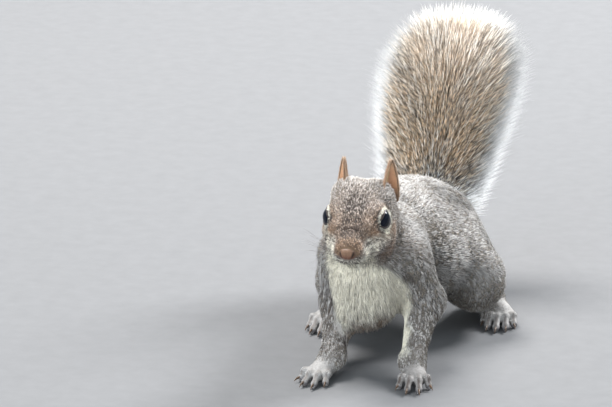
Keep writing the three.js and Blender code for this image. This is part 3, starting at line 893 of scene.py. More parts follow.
def coat_shades(roots, normal, which, wider, head, back):
    """Two numbers for each lock, mostly shared by its clump: a moves the bands along it, and b turns it from
    banded to silver. b is higher on the back, where the coat faces up, as painted light from above, and
    lower where the coat faces sideways. It is higher on the top of the neck on the left, as painted light.
    It is lower low on the limbs, most on the left, as painted shade. It is also higher in long folds on the
    sides and on the paws' tops."""
    x, _, z = roots.T
    paw = below(z, 6.0, 8.5) * smooth(normal[:, 2], 0.1, 0.7)
    a = 0.5 + (shared(which, 0.75) - 0.5) * np.where(head > 0.5, 2.0, np.where(back, 0.85, 1.5))
    a = a - 0.12 * head + 0.5 * paw
    # painted light: locks that face up on the back turn silver, and those that face sideways darker, as if
    # lit from above
    painted_top_light = smooth(normal[:, 2], 0.0, 0.9) * smooth(z, 30, 66)
    # painted shade: less silver low on the limbs, most on the left ones, which lie in shade
    limb = below(z, 20, 36) * np.where(x > 0, 0.7, 0.15)
    # painted light: more silver on the top of the neck on the left, where the light falls on it
    painted_nape_light = close_to(roots, vec(18, 36, 66), 5, 14)
    fold = wander(roots * vec(1, 0.8, 0.3), 2.6, 7) * (1 - head) * below(normal[:, 2], 0.4, 0.9)
    b = (shared(wider, 0.75) + 0.10 * painted_top_light * (1 - 0.4 * head) + 0.2 * painted_nape_light - 0.08 * (1 - painted_top_light)
         - 0.16 * head - limb + 0.6 * paw + 0.22 * fold)
    return a, b


def grow_coat(mesh):
    """The coat of the body: each lock leaves the skin at its lift and bends down to the lie of the hair,
    and the tips of one clump draw together."""
    roots, normal = sown(mesh)
    way, look = lie_at(roots)
    n = len(roots)
    way = combed(roots, normal, unit(way))
    lids = beside_lids(folded(body_to_head(roots)))
    length = look[:, 0] * chance.uniform(0.7, 1.15, n) * (1 - 0.45 * lids) / GROWTH
    width = look[:, 1] * chance.uniform(0.75, 1.3, n) / GROWTH * (1.0 if FINE else 1.35)
    lift = (look[:, 2] * chance.uniform(0.55, 1.45, n) * (1 - 0.1 * lids))[:, None]
    start = roots - (0.25 - 0.2 * lids)[:, None] * normal
    bend = start + (length * 0.5)[:, None] * unit(way + 1.25 * lift * normal)
    tip = bend + (length * 0.5)[:, None] * unit(way + 0.35 * lift * normal)

    marks, head = markings(roots), in_head(roots)
    face, back, bib = head > 0.5, roots[:, 2] > 58, marks[:, 1] > 0.5
    size = np.where(face, 0.50, np.where(bib, 1.3, np.where(back | (roots[:, 2] < 26), 0.9, 1.1)))
    run = np.where(normal[:, 2:] > 0.7, vec(0, 1, 0), unit(vec(0, 0.45, -0.9))) * ~face[:, None]
    which, middle = clumps(tip, size, run)
    gap = middle - tip
    gap = gap - (gap * run).sum(1, keepdims=True) * run
    pull = np.where(face, 0.35, np.where(back | bib, 0.2, 0.45))
    drawn = smooth(roots[:, 2:], 7, 10) * pull[:, None] * gap
    stations = np.stack([start, bend + 0.35 * drawn, tip + drawn], 1)
    stations[:, 1:, 2] = np.maximum(stations[:, 1:, 2], 0.15)

    a, b = coat_shades(roots, normal, which, clumps(tip + drawn, size * 1.4, run)[0], head, back)
    where = region_of(roots)
    pieces = []
    for k, name in enumerate(COAT_PIECES):
        mine = where == k
        strand = {"normal": normal[mine], "a": a[mine], "b": b[mine]}
        uv = unrolled(roots[mine], COAT_PARTS[k // 2] in ("arm", "leg", "chest"))
        pieces.append(grown(name, stations[mine], width[mine], strand, marks[mine], uv))
    return pieces


def grow_plume():
    """The tail's long hair. Each hair leaves the core, runs up it and out to a point of the plume's
    outline, on a bent line: start (1-t)² + bend 2t(1-t) + tip t². Tips that fall in one cell of a grid
    draw together in a lock. Hairs near the margin belong to the pale fringe."""
    n = PLUME_HAIRS if FINE else 13000
    s = chance.uniform(0.02, 1.0, int(1.25 * n)) ** 0.9
    s = s[chance.random(len(s)) < 0.15 + tail_half(s)[0] / TAIL_WIDE[1]][:n]
    n = len(s)
    turn = chance.uniform(0, 2 * np.pi, n)
    turn = turn - 0.30 * np.sin(2 * turn)  # more to the two sides than to front and back
    reach = 1.05 - 0.5 * chance.random(n) ** (1.2 + 1.6 * np.cos(turn) ** 4)
    (wide, deep), (place, way) = tail_half(s), tail_at(s)
    side = np.broadcast_to(vec(1, 0, 0), place.shape)
    across, through = np.cos(turn)[:, None] * side, np.sin(turn)[:, None]
    out = across * wide[:, None] + through * unit(np.cross(way, side)) * deep[:, None]
    tip = place + out * reach[:, None]
    lock, middle = clumps(tip, np.full(n, 2.4))
    tip = tip + 0.4 * (middle - tip)
    s0 = np.clip(s - (0.08 + 0.06 * chance.random(n)), 0.015, 0.83)
    root, way0 = tail_at(s0)
    spoke = unit(across + through * unit(np.cross(way0, side)))
    root = root + spoke * (5.6 - 4.0 * s0)[:, None]
    climb = ((tip - root) * way0).sum(1, keepdims=True) * way0
    margin = np.abs(np.cos(turn)) * reach
    bend = root + (0.92 - 0.40 * margin**2)[:, None] * (tip - root - climb) + 0.22 * climb
    t = np.array([0, 0.4, 0.75, 1.0])[None, :, None]
    tip = tip + chance.normal(0, 1.3, (n, 3)) + spoke * chance.normal(0, 1.3, n)[:, None]
    stations = root[:, None] * (1 - t) ** 2 + bend[:, None] * 2 * t * (1 - t) + tip[:, None] * t**2
    stations[..., 2] = np.maximum(stations[..., 2], 2)

    fringe = np.maximum(smooth(margin, 0.83, 0.97), smooth(s, 0.95, 1.0)) * smooth(s, 0.10, 0.30)
    width = chance.uniform(0.32, 0.62, n) / GROWTH * BROADER * (1 - 0.5 * fringe)
    warm = smooth(s, 0.16, 0.50) * (1 - 0.3 * smooth(s, 0.7, 1.0)) * (1 - 0.35 * margin**2)
    warm = np.clip(warm + 0.28 * wander(tip, 5.0, 17), 0, 1)
    # the third mark grows up the tail: it makes the bands paler, and darkens the fringe there as painted
    # shade
    marks = np.stack([warm, fringe, smooth(s, 0.55, 0.95)], -1)
    a, b = shared(lock, 0.5), shared(lock, 0.7)
    turn = turn % (2 * np.pi)
    part = np.clip((s * 3).astype(int), 0, 2) * 2 + (turn < np.pi)
    pieces = []
    for k in range(6):
        mine = part == k
        strand = {"normal": spoke[mine], "a": a[mine], "b": b[mine]}
        uv = np.stack([turn[mine] / (2 * np.pi), s[mine]], -1)
        name = "plume_%s_%s" % (("base", "middle", "tip")[k // 2], ("back", "front")[k % 2])
        pieces.append(grown(name, stations[mine], width[mine], strand, marks[mine], uv))
    return pieces


# ------------------------------------------------------------------ surfaces on a grid
def surface(name, grid, caps=True):
    """A closed surface from a grid of rings: each ring is joined to the next, and the two ends close in
    a point at the mean of the end ring, or meet each other where there are no caps."""
    rings, n = grid.shape[:2]
    points = grid.reshape(-1, 3)
    k = np.arange(n)
    after = (k + 1) % n
    row = np.arange(rings - 1)[:, None] * n
    faces = np.stack([row + k, row + after, row + after + n, row + k + n], -1).reshape(-1, 4).tolist()
    if caps:
        last = (rings - 1) * n
        faces += np.stack([after, k, np.full(n, rings * n)], -1).tolist()
        faces += np.stack([last + k, last + after, np.full(n, rings * n + 1)], -1).tolist()
        points = np.concatenate([points, grid[[0, -1]].mean(1)])
    mesh = bpy.data.meshes.new(name)
    mesh.from_pydata(to_frame(points).tolist(), [], faces)
    bm = bmesh.new()
    bm.from_mesh(mesh)
    bmesh.ops.remove_doubles(bm, verts=bm.verts, dist=1e-7)
    bmesh.ops.recalc_face_normals(bm, faces=bm.faces)
    bm.to_mesh(mesh)
    bm.free()
    round_off(mesh)
    return shown(name, mesh)


def turned(angles):
    """A turn about X, then Y, then Z of the turned axes, in degrees, as one matrix."""
    x, y, z = np.radians(angles)
    rx = np.array([[1, 0, 0], [0, np.cos(x), -np.sin(x)], [0, np.sin(x), np.cos(x)]])
    ry = np.array([[np.cos(y), 0, np.sin(y)], [0, 1, 0], [-np.sin(y), 0, np.cos(y)]])
    rz = np.array([[np.cos(z), -np.sin(z), 0], [np.sin(z), np.cos(z), 0], [0, 0, 1]])
    return rx @ ry @ rz


def ear_leaf(side, turn, v, skin=1.0):
    """A point of the ear at a turn round its rim section and a height v from 0 to 1: across is
    cos turn times half the breadth, the cup bends it by cos² turn, and sin turn gives its thickness."""
    s = SIDES[side]
    breadth = np.sin(np.pi * (0.3 + 0.7 * v)) ** 0.75 * (1 - 0.15 * v) + 0.03
    across = EAR["width"] / 2 * breadth * np.cos(turn)
    bend = EAR["cup"] * breadth * (np.cos(turn) ** 2 - 0.5) * (1.25 - 0.5 * v)
    thick = EAR["thickness"] / 2 * np.sin(turn) * (1 - 0.45 * v) * skin
    local = np.stack(np.broadcast_arrays(across, -bend + thick, (v - 0.12) * EAR["height"]), -1)
    m = turned((-EAR["back"], s * EAR["splay"], s * EAR["facing"]))
    return head_to_body(local @ m.T + vec(*EAR_ROOT[side]))


def make_ear(side):
    """The leaf of an ear as a closed surface, which keeps its height, its inner side and the share
    across it for its colours."""
    v, turn = np.meshgrid(np.linspace(0, 1, 26), round_turn(44), indexing="ij")
    piece = surface("ear_%s_leaf" % side, ear_leaf(side, turn, v))
    height = np.append(v.ravel(), [0, 1])
    inner = np.append((np.sin(turn) < 0).astype(float).ravel(), [0, 0])
    across = np.append(0.5 - 0.5 * SIDES[side] * np.cos(turn).ravel(), [0.5, 0.5])
    put_colours(piece.data, "leaf", np.stack([height, inner, across], -1))
    return piece


def grow_ear_hair(side):
    """Fine hair on the back of the ear, longer and pale on its rim."""
    n = EAR_HAIRS if FINE else 2600
    v = chance.uniform(0.08, 0.99, n)
    turn = chance.uniform(0, 2 * np.pi, n)
    edge = chance.random(n) < 0.42
    turn[edge] = np.where(chance.random(edge.sum()) < 0.5, 0, np.pi) + chance.normal(0, 0.22, edge.sum())
    root = ear_leaf(side, turn, v)
    up = unit(ear_leaf(side, turn, np.minimum(v + 0.03, 1.02)) - root)
    normal = unit(ear_leaf(side, turn, v, 2.0) - root + 1e-6 * UP)
    outward = unit(root - ear_leaf(side, turn + np.pi, v)) * (np.abs(np.cos(turn)) ** 3)[:, None]
    inner = np.sin(turn) < -0.25
    keep = ~inner | edge | (chance.random(n) < 0.15)
    length = (np.where(edge, 2.2, np.where(inner, 1.3, 1.9)) * chance.uniform(0.6, 1.2, n))[:, None]
    way = unit(up + 0.30 * normal + 0.42 * outward + chance.normal(0, 0.14, (n, 3)))
    start = root - 0.1 * normal
    stations = np.stack([start, start + 0.5 * length * way, start + length * unit(way + 0.25 * up)], 1)
    width = chance.uniform(0.13, 0.2, n) * BROADER
    pale = np.where(edge, 0.15, 0.0) + 0.15 * smooth(v, 0.85, 1.0)
    marks = np.stack([np.ones(n), pale, np.zeros(n)], -1)
    strand = {"normal": normal[keep], "a": 0.4 * chance.random(keep.sum()), "b": chance.random(keep.sum())}
    uv = np.stack([turn % (2 * np.pi) / (2 * np.pi), v], -1)
    return grown("ear_%s_hair" % side, stations[keep], width[keep], strand, marks[keep], uv[keep])


def globe(name, centre, half, rings=28, sides=40, shape=None):
    """An ellipsoid: latitude in rings about X's own pole, pushed in or out where shape says."""
    lat, lon = np.meshgrid(np.linspace(0.06, np.pi - 0.06, rings), round_turn(sides), indexing="ij")
    way = np.stack([np.cos(lat), np.sin(lat) * np.cos(lon), np.sin(lat) * np.sin(lon)], -1)
    p = centre + way * half
    return surface(name, head_to_body(shape(p, way) if shape else p))


def make_lid(side):
    """The bare edge of the lids: a thin tube along the almond of the opening, laid on the eyeball, with
    its corner towards the nose drawn out and down."""
    centre, look, along, over = eye_axes(SIDES[side])
    t = round_turn(96)
    front = np.maximum(np.cos(t), 0)
    a = EYE_OPENING[0] * np.cos(t) * (1 + 0.10 * front**6)
    b = EYE_OPENING[1] * np.sin(t) * (1 - 0.16 * front**2) - EYE_SLANT * a
    rise = np.sqrt(np.maximum(EYE_RADIUS**2 - a**2 - b**2, 2.0))
    spoke = unit(a[:, None] * along + b[:, None] * over + rise[:, None] * look)
    rim = centre + spoke * (EYE_RADIUS + 0.12)
    across = np.cross(unit(np.roll(rim, -1, 0) - np.roll(rim, 1, 0)), spoke)
    u = round_turn(12)[:, None]
    half = 0.50 + 0.12 * front[:, None, None]
    ring = across[:, None] * np.cos(u) * half + spoke[:, None] * np.sin(u) * 0.42
    grid = head_to_body(rim[:, None] + ring)
    return surface("lid_%s" % side, np.concatenate([grid, grid[:1]]), caps=False)


def nostril(p):
    """1 in the comma of each nostril at the pad's sides, falling to 0 round it."""
    side = np.abs(p[..., 0])
    return np.exp(-((side - 3.55 + 0.20 * (p[..., 2] - 68.4) ** 2) / 0.6) ** 2
                  - ((p[..., 2] - 67.5) / 1.5) ** 2) * (p[..., 1] < NOSE[1] + 1.6)


def nose_form(p, way):
    """The nostrils and a groove down the pad's middle are pressed in."""
    groove = 0.3 * np.exp(-(p[..., 0] / 0.3) ** 2) * below(p[..., 2], 67.0, 69.5)
    return p - way * (1.1 * nostril(p) + groove)[..., None]


def make_nose():
    """The nose pad: an ellipsoid with its nostrils and groove pressed in, which keeps how far each place
    lies in a nostril and how low it is, for its colours and the painted shade on its lower part."""
    nose = globe("nose_pad", NOSE, NOSE_HALF, 60, 80, nose_form)
    p = body_to_head(places(nose.data) / (GROWTH * 1e-3) + MIDDLE)
    hole = nostril(NOSE + unit((p - NOSE) / NOSE_HALF) * NOSE_HALF)
    put_colours(nose.data, "pad", np.stack([hole, below(p[:, 2], 66, 68.5), hole * 0], -1))
    return nose


def make_claw(name, line, length):
    """A curved claw: a cone whose middle line goes on past the toe and bends down to the ground."""
    middle, tip = vec(*line[1]), vec(*line[2])
    way = unit((tip - middle) * vec(1, 1, 0))
    t = np.linspace(0, 1, 12)
    base = tip + vec(0, 0, 0.35) - 0.25 * way
    drop = 0.75 * np.sin(np.pi * t * 0.8) - (base[2] - 0.25) * t**2.2
    curve = base + way * (length * t)[:, None] + UP * drop[:, None]
    direction = unit(np.gradient(curve, axis=0))
    side = unit(np.cross(direction, UP))
    over = np.cross(side, direction)
    radius = 0.85 * (1 - t) ** 0.75 + 0.05
    a = round_turn(10)[:, None]
    ring = side[:, None] * np.cos(a) * 0.75 + over[:, None] * np.sin(a) * 1.1
    grid = curve[:, None] + ring * radius[:, None, None]
    grid[..., 2] = np.maximum(grid[..., 2], 0.0)
    return surface(name, grid)


def whisker_rows(s):
    """The root, way and length of each whisker of one side: four rows of five on the pad, and two over
    the eye."""
    rows = [(vec(s * (4.2 + 0.9 * k), -8.6 + 1.5 * k + 0.4 * row, 67.6 - 1.15 * row),
             unit(vec(s * 1.0, 0.55 + 0.12 * k, 0.30 - 0.24 * row)), 19 + 2.2 * k)
            for row in range(4) for k in range(5)]
    return rows + [(vec(s * 7.5, 3, 85.5), unit(vec(s * 0.6, 0.3, 1.0)), 12),
                   (vec(s * 8.5, 4, 85.5), unit(vec(s * 0.8, 0.5, 0.9)), 10)]


def grow_whiskers():
    """Long stiff hairs from the whisker pads and over the eyes, swept back and out, and sinking by the
    square of the share along them."""
    base, way, length = (np.array(x) for x in zip(*whisker_rows(1), *whisker_rows(-1)))
    n = len(base)
    base = base + chance.normal(0, 0.15, (n, 3))
    way = way + chance.normal(0, 0.05, (n, 3))
    length = (length * chance.uniform(0.8, 1.1, n))[:, None]
    base = body_to_head(settled(skin_field, head_to_body(base), 1.0, 4)) - 0.3 * way
    t = np.array([0, 0.2, 0.4, 0.6, 0.8, 1.0])
    stations = (base[:, None] + way[:, None] * (length * t)[..., None]
                - UP * (0.10 * length * t**2)[..., None]
                + vec(0, 1, 0) * (0.12 * length * t**2)[..., None])
    strand = {"normal": np.broadcast_to(UP, (n, 3)), "a": chance.random(n), "b": chance.random(n)}
    uv = np.stack([np.linspace(0.1, 0.9, n), np.full(n, 0.5)], -1)
    width = np.full(n, WHISKER_WIDTH)
    return grown("whiskers", head_to_body(stations), width, strand, np.zeros((n, 3)), uv, thick=1.0)


# ------------------------------------------------------------------ materials
class Value:
    """A socket that can be reckoned with: each sign adds one Math node."""

    def __init__(self, graph, socket):
        self.graph, self.socket = graph, socket

    def math(self, operation, *values):
        return self.graph.add("ShaderNodeMath", {"operation": operation}, *values)

    def __add__(self, o):
        return self.math("ADD", self, o)

    def __sub__(self, o):
        return self.math("SUBTRACT", self, o)

    def __rsub__(self, o):
        return self.math("SUBTRACT", o, self)

    def __mul__(self, o):
        return self.math("MULTIPLY", self, o)

    __radd__ = __add__
    __rmul__ = __mul__

    def power(self, o):
        return self.math("POWER", self, o)

    def clipped(self):
        return self.graph.add("ShaderNodeClamp", {}, self)

    def between(self, a, b):
        """0 below a and 1 above b, softly."""
        soft = {"interpolation_type": "SMOOTHSTEP"}
        return self.graph.add("ShaderNodeMapRange", soft, self, a, b, 0.0, 1.0)


class Graph:
    """The nodes of one material."""

    def __init__(self, name):
        self.material = bpy.data.materials.new(name)
        self.material.use_nodes = True
        self.tree = self.material.node_tree

    def put(self, socket, value):
        """Links a value to a socket, or sets a number or a colour on it."""
        if isinstance(value, Value):
            self.tree.links.new(value.socket, socket)
        elif socket.type == "RGBA":
            socket.default_value = (*value, 1)
        else:
            socket.default_value = value

    def add(self, kind, settings, *values, out=0, **named):
        """A node of that type with its settings, the values of its sockets in order or by name, and the
        number or name of the output that is wanted."""
        node = self.tree.nodes.new(kind)
        for key, value in settings.items():
            setattr(node, key, value)
        sockets = [s for s in node.inputs if s.enabled]
        for socket, value in zip(sockets, values):
            self.put(socket, value)
        by_name = {s.name.replace(" ", "_"): s for s in reversed(sockets)}
        for key, value in named.items():
            self.put(by_name[key], value)
        outs = [s for s in node.outputs if s.enabled]
        return Value(self, outs[out] if isinstance(out, int) else next(s for s in outs if s.name == out))

    def attribute(self, name):
        """The three numbers kept on the mesh under that name."""
        colour = self.add("ShaderNodeAttribute", {"attribute_name": name}, out="Color")
        return [self.add("ShaderNodeSeparateColor", {}, colour, out=k) for k in range(3)]

    def place(self):
        return self.add("ShaderNodeTexCoord", {}, out="Object")

    def noise(self, scale, detail=2.0, rough=0.5):
        return self.add("ShaderNodeTexNoise", {}, self.place(), Scale=scale, Detail=detail, Roughness=rough)

    def blend(self, share, a, b, kind="MIX"):
        return self.add("ShaderNodeMix", {"data_type": "RGBA", "blend_type": kind, "clamp_factor": True},
                        share, a, b)

    def toned(self, colour, tone):
        """A colour made lighter or darker by a factor."""
        grey = self.add("ShaderNodeCombineColor", {}, tone, tone, tone)
        return self.blend(1.0, colour, grey, "MULTIPLY")

    def ramp(self, value, *stops):
        """The colour at a value, between stops of a place and its red, green and blue."""
        mapped = self.add("ShaderNodeValToRGB", {}, value, out="Color")
        elements = mapped.socket.node.color_ramp.elements
        while len(elements) < len(stops):
            elements.new(0.5)
        for element, (place, *colour) in zip(elements, stops):
            element.position, element.color = place, (*colour, 1)
        return mapped

    def bump(self, height, strength, distance):
        return self.add("ShaderNodeBump", {}, Height=height, Strength=strength, Distance=distance)

    def finish(self, **sockets):
        """Feeds the shader's sockets by name and gives the material."""
        for name, value in sockets.items():
            self.put(self.tree.nodes["Principled BSDF"].inputs[name.replace("_", " ")], value)
        return self.material


def coat_material():
    """Each lock is grey at its root, then ochre, black and silver, by its own share along; the marks
    turn it rusty, cream or dark."""
    g = Graph("squirrel_coat")
    along, a, b = g.attribute("strand")
    warm, pale, dark = g.attribute("marks")
    along = along + (a - 0.5) * 0.55
    banded = g.ramp(along, (0.0, 0.12, 0.12, 0.122), (0.30, 0.21, 0.20, 0.185), (0.44, 0.37, 0.32, 0.25),
                    (0.54, 0.37, 0.32, 0.25), (0.60, 0.035, 0.034, 0.033), (0.72, 0.035, 0.034, 0.033),
                    (0.80, 0.66, 0.64, 0.62), (1.0, 0.74, 0.72, 0.70))
    silver = g.ramp(along, (0.0, 0.20, 0.20, 0.202), (0.35, 0.36, 0.355, 0.35), (0.7, 0.61, 0.60, 0.59),
                    (1.0, 0.75, 0.74, 0.73))
    coat = g.blend((b * 3.4 - 1.4).clipped(), banded, silver)
    rusty = g.ramp(along, (0.0, 0.12, 0.070, 0.045), (0.35, 0.36, 0.205, 0.115), (0.5, 0.54, 0.32, 0.18),
                   (0.62, 0.13, 0.075, 0.045), (0.74, 0.13, 0.075, 0.045), (0.84, 0.54, 0.36, 0.23),
                   (1.0, 0.64, 0.47, 0.33))
    coat = g.blend((warm * 1.1 + (b - 0.5) * 0.3 * warm).clipped(), coat, rusty)
    cream = g.ramp(along, (0.0, 0.66, 0.61, 0.50), (0.3, 0.93, 0.88, 0.74), (1.0, 0.98, 0.94, 0.81))
    coat = g.blend((pale * 1.3 - 0.1 + (a - 0.5) * 0.8 * pale).clipped(), coat, cream)
    coat = g.blend((dark * 2.6 * (0.9 - a)).clipped(), coat, (0.045, 0.030, 0.024))
    return g.finish(Base_Color=g.toned(coat, 0.84 + g.noise(60.0) * 0.32), Roughness=0.6,
                    Specular_IOR_Level=0.2, Sheen_Weight=0.15)


def plume_material():
    """Long tail hair in bands of ochre and near black, paler up the tail, grey at its root, and white at the
    end of each hair of the fringe. The marks give how warm it is, how far it belongs to the fringe, and how
    far up the tail it lies, which makes its bands paler and darkens the fringe's white as painted shade."""
    g = Graph("squirrel_plume")
    along, a, b = g.attribute("strand")
    warm, fringe, end = g.attribute("marks")
    along = along + (a - 0.5) * 0.6
    inner = g.ramp(along, (0.0, 0.30, 0.20, 0.12), (0.20, 0.54, 0.37, 0.22), (0.34, 0.66, 0.46, 0.28),
                   (0.41, 0.16, 0.12, 0.08), (0.47, 0.16, 0.12, 0.08), (0.54, 0.70, 0.50, 0.32),
                   (0.62, 0.72, 0.52, 0.34), (0.68, 0.13, 0.10, 0.07), (0.75, 0.14, 0.11, 0.08),
                   (0.82, 0.72, 0.60, 0.47), (1.0, 0.84, 0.76, 0.66))
    light = g.ramp(along, (0.0, 0.34, 0.25, 0.18), (0.3, 0.66, 0.52, 0.39), (0.42, 0.36, 0.28, 0.21),
                   (0.55, 0.74, 0.60, 0.47), (0.66, 0.34, 0.27, 0.21), (0.73, 0.40, 0.33, 0.27),
                   (0.80, 0.70, 0.62, 0.52), (1.0, 0.76, 0.70, 0.62))
    grey = g.ramp(along, (0.0, 0.20, 0.195, 0.185), (0.32, 0.48, 0.47, 0.44), (0.41, 0.09, 0.09, 0.095),
                  (0.47, 0.09, 0.09, 0.095), (0.56, 0.52, 0.49, 0.43), (0.63, 0.50, 0.45, 0.37),
                  (0.69, 0.08, 0.08, 0.09), (0.76, 0.09, 0.09, 0.10), (0.84, 0.58, 0.60, 0.60),
                  (1.0, 0.74, 0.76, 0.77))
    outer = g.ramp(along, (0.0, 0.30, 0.21, 0.14), (0.26, 0.50, 0.36, 0.23), (0.38, 0.14, 0.11, 0.09),
                   (0.48, 0.20, 0.18, 0.16), (0.60, 0.74, 0.74, 0.74), (1.0, 0.78, 0.785, 0.79))
    hair = g.blend(warm, grey, g.blend(end, inner, light))
    hair = g.blend((fringe * 1.3 - 0.15 + (b - 0.5) * 0.3 * fringe).clipped(), hair, outer)
    # painted shade: the fringe's white is darkened towards the tail's end, on the plume's top, where the
    # light falls strongest
    tone = 0.90 + b * 0.62 * (1 - fringe) + fringe * (0.12 - 0.60 * end)
    return g.finish(Base_Color=g.toned(hair, tone), Roughness=0.6, Specular_IOR_Level=0.25,
                    Sheen_Weight=0.2)


def skin_material():
    """The skin under the coat carries the same marks, and shows bare on the toes and the lids."""
    g = Graph("squirrel_skin")
    warm, pale, dark = g.attribute("marks")
    lid, sole, core = g.attribute("bare")
    fine = g.noise(900.0, 3.0)
    under = g.blend(fine, (0.20, 0.195, 0.19), (0.42, 0.41, 0.40))
    under = g.blend(warm, under, g.blend(fine, (0.12, 0.075, 0.05), (0.30, 0.20, 0.125)))
    under = g.blend(pale, under, g.blend(fine, (0.62, 0.61, 0.55), (0.84, 0.82, 0.75)))
    under = g.blend((dark * 1.1).clipped(), under, (0.06, 0.04, 0.032))
    under = g.blend(sole, under, g.blend(fine, (0.05, 0.048, 0.052), (0.15, 0.145, 0.155)))
    under = g.blend(core, under, (0.20, 0.14, 0.09))
    under = g.blend(lid, under, g.blend(fine, (0.03, 0.022, 0.02), (0.07, 0.05, 0.045)))
    height = fine + g.noise(2500.0, 2.0) * 0.5
    return g.finish(Base_Color=under, Roughness=0.62, Specular_IOR_Level=0.3,
                    Normal=g.bump(height, 0.35, 0.0004))


def ear_material():
    """The ear's back is ochre; its inside runs from a near-black root, painted shade where the leaf meets
    the head, to pink, with ochre fur along one side and a paler rim."""
    g = Graph("squirrel_ear")
    height, inner, across = g.attribute("leaf")
    fine = g.noise(700.0, 3.0)
    outside = g.blend(fine, (0.38, 0.25, 0.13), (0.58, 0.41, 0.23))
    # painted shade: the inside is near black at its root, where the leaf meets the head
    inside = g.ramp(height + (fine - 0.5) * 0.15, (0.0, 0.04, 0.02, 0.015), (0.22, 0.12, 0.05, 0.028),
                    (0.42, 0.48, 0.23, 0.12), (0.8, 0.66, 0.36, 0.21), (1.0, 0.74, 0.50, 0.31))
    furred = g.blend(fine, (0.42, 0.28, 0.14), (0.64, 0.46, 0.25))
    inside = g.blend((across + (fine - 0.5) * 0.3).between(0.42, 0.62), inside, furred)
    leaf = g.blend(inner, outside, inside)
    edge = (across - 0.5) * 2.0
    leaf = g.blend((edge * edge).power(3.0) * 0.5, leaf, (0.52, 0.36, 0.22))
    return g.finish(Base_Color=leaf, Roughness=0.55, Specular_IOR_Level=0.3,
                    Normal=g.bump(fine, 0.3, 0.0003))


def nose_material():
    """Fine cells from brown to pinkish brown, redder and darker below, the darkness painted shade, and
    nearly black in the nostrils.
    """
    g = Graph("squirrel_nose")
    fine = g.add("ShaderNodeTexVoronoi", {}, g.place(), Scale=2600.0)
    hole, low, _ = g.attribute("pad")
    colour = g.blend((fine * 1.4).clipped(), (0.09, 0.052, 0.034), (0.21, 0.122, 0.078))
    # painted shade: the lower part of the pad is darker, and redder
    colour = g.blend(low * 0.7, colour, (0.10, 0.040, 0.028))
    colour = g.blend((hole * 1.5).clipped(), colour, (0.012, 0.007, 0.005))
    return g.finish(Base_Color=colour, Roughness=0.42, Specular_IOR_Level=0.4,
                    Normal=g.bump(fine, 0.5, 0.0002))


def whisker_material():
    """Nearly black, and paler towards the tip."""
    g = Graph("squirrel_whisker")
    along = g.attribute("strand")[0]
    return g.finish(Base_Color=g.ramp(along, (0.0, 0.03, 0.025, 0.02), (0.7, 0.12, 0.10, 0.09),
                                      (1.0, 0.5, 0.48, 0.46)), Roughness=0.4)


def grained(name, grain, dark, light, bump=None, **looks):
    """A plain finish: a fine grain between a dark and a light colour, and its bump's strength and depth."""
    g = Graph(name)
    fine = g.noise(*grain)
    if bump:
        looks["Normal"] = g.bump(fine, *bump)
    return g.finish(Base_Color=g.blend(fine, dark, light), **looks)


def plain_materials():
    """The eyes, the lids' edges, the claws and the floor."""
    return SimpleNamespace(
        eye=grained("squirrel_eye", (300.0, 1.0), (0.002, 0.004, 0.009), (0.006, 0.008, 0.014),
                    Roughness=0.06, Specular_IOR_Level=0.17),
        lid=grained("squirrel_lid", (1500.0, 2.0), (0.022, 0.016, 0.014), (0.060, 0.042, 0.036),
                    (0.2, 0.0001), Roughness=0.38, Specular_IOR_Level=0.5),
        claw=grained("squirrel_claw", (500.0, 3.0), (0.035, 0.024, 0.018), (0.20, 0.12, 0.07),
                     (0.2, 0.0002), Roughness=0.32, Specular_IOR_Level=0.5),
        floor=grained("studio_floor", (90.0, 5.0, 0.6), (0.160, 0.161, 0.165), (0.196, 0.197, 0.202),
                      Roughness=0.9, Specular_IOR_Level=0.1))


# ------------------------------------------------------------------ building
def place_camera():
    """Looks at the animal from its front and left, a little from above, with a long lens."""
    turn, rise, distance = np.radians(13.5), np.radians(16.0), 2.33
    aim = vec(-0.0428, -0.0948, 0.0960)
    back = vec(np.sin(turn) * np.cos(rise), -np.cos(turn) * np.cos(rise), np.sin(rise))
    right = vec(np.cos(turn), np.sin(turn), 0)
    data = bpy.data.cameras.new("camera")
    data.lens, data.sensor_width, data.clip_end = 247.06, 36.0, 60.0
    camera = shown("camera", data)
    stand = np.eye(4)
    stand[:3] = np.stack([right, np.cross(back, right), back, aim + distance * back], -1)
    camera.matrix_world = Matrix(stand.tolist())
    bpy.context.scene.camera = camera


def place_lights():
    """Soft discs of light above, behind and in front, and a pale sky all round. The front one leaves no
    reflection in the eyes."""
    for name, place, height, size, power, colour in (
            ("sky_key", (-0.9, 0.75, 2.4), 0.06, 1.3, 126, (1.0, 0.985, 0.965)),
            ("rim", (1.3, 1.9, 1.7), 0.08, 1.0, 142, (0.98, 0.99, 1.0)),
            ("front_fill", (-0.8, -2.8, 0.6), 0.08, 1.8, 97, (0.89, 0.95, 1.0)),
            ("eye_light", (0.9, -1.2, 2.2), 0.10, 1.8, 2.5, (0.85, 0.93, 1.0))):
        data = bpy.data.lights.new(name, "AREA")
        data.shape, data.size, data.energy, data.color = "DISK", size, power, colour
        light = shown(name, data)
        light.location = place
        aim = Vector((0, 0, height)) - Vector(place)
        light.rotation_euler = aim.to_track_quat("-Z", "Y").to_euler()
        light.visible_glossy = name != "front_fill"
    world = bpy.data.worlds.new("studio")
    world.use_nodes = True
    sky = world.node_tree.nodes["Background"]
    sky.inputs["Color"].default_value = (0.84, 0.93, 1.0, 1)
    sky.inputs["Strength"].default_value = 0.58
    bpy.context.scene.world = world


def place_floor(material):
    """A wide flat floor under the soles, which isn't part of the animal."""
    span = 9.0
    mesh = bpy.data.meshes.new("studio_floor")
    mesh.from_pydata([(-span, -span, 0), (span, -span, 0), (span, span, 0), (-span, span, 0)], [],
                     [(0, 1, 2, 3)])
    mesh.materials.append(material)
    floor = shown("studio_floor", mesh)


def dress(piece, material, slot, *nodes):
    """Gives a piece its material and its body, and hides the solids that it stands for. slot is not used."""
    piece.data.materials.append(material)
    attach(piece, "root")
    if nodes:
        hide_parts(*nodes)


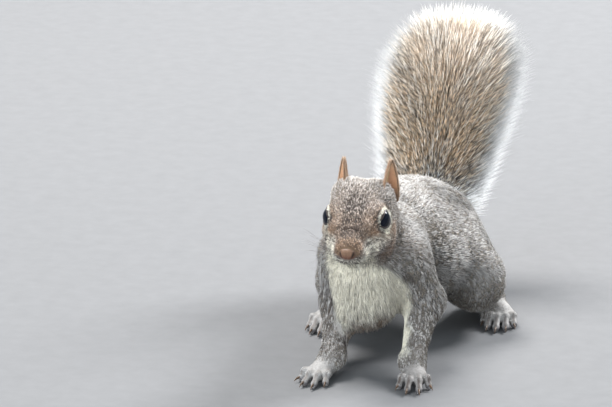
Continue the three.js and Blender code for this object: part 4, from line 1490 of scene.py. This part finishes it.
def bare_marks(p):
    """Where the skin shows, each from 0 to 1: the lids' edges, the soles and the tail's core."""
    q = body_to_head(p)
    lid = np.zeros(len(p))
    for s in SIDES.values():
        centre, look, *_ = eye_axes(s)
        lid = np.maximum(lid, below(eye_slit(q, s), 0.3, 0.5) * ((q - centre) @ look > 0.5))
    core = smooth(-CORE(p), -3, -1) * smooth(p[:, 1], 142, 150)
    return np.stack([lid, below(p[:, 2], 1.6, 3.4), core], -1)


def dress_skin_and_coat():
    """The skin stands for all the solids of flesh, and the coat is sown on it before it is put in the
    frame."""
    mesh = make_skin()
    p = places(mesh)
    put_colours(mesh, "marks", markings(p))
    put_colours(mesh, "bare", bare_marks(p))
    coat_pieces = grow_coat(mesh)
    put_places(mesh, to_frame(p))
    round_off(mesh)
    limbs = [f"{part}_{side}" for part in ("upper_arm", "forearm", "hand", "thigh", "shank", "foot")
             for side in SIDES]
    tail = ["tail_base", "tail_middle", "tail_tip"]
    dress(shown("skin", mesh), skin_material(), "coat", "head", "neck", "trunk", *limbs, *tail)
    coat = coat_material()
    for piece in coat_pieces:
        dress(piece, coat, "coat")
    return coat


def build():
    """The studio, and then the animal: skin and coat, tail, ears, lids, eyes, claws, nose and whiskers."""
    bpy.context.scene.view_settings.view_transform = "Standard"
    plain = plain_materials()
    place_camera()
    place_lights()
    place_floor(plain.floor)
    coat, plume, ear_skin = dress_skin_and_coat(), plume_material(), ear_material()
    for piece in grow_plume():
        dress(piece, plume, "plume")
    for side, s in SIDES.items():
        dress(make_ear(side), ear_skin, "ears", "ear_" + side)
        dress(grow_ear_hair(side), coat, "coat")
        dress(make_lid(side), plain.lid, "coat")
        eyeball = globe("eye_%s_globe" % side, on_side(EYE, s), np.full(3, EYE_RADIUS))
        dress(eyeball, plain.eye, "eyes", "eye_" + side)
        for limb, length in (("hand", 4.4), ("foot", 4.8)):
            for i, line in enumerate(limb_toes(limb, side), 1):
                claw = make_claw("horn_%s_%s_%d" % (limb, side, i), line, length)
                dress(claw, plain.claw, "horn", "claw_%s_%s_%d" % (limb, side, i))
    dress(make_nose(), nose_material(), "nose_skin", "nose")
    dress(grow_whiskers(), whisker_material(), "coat")


build()
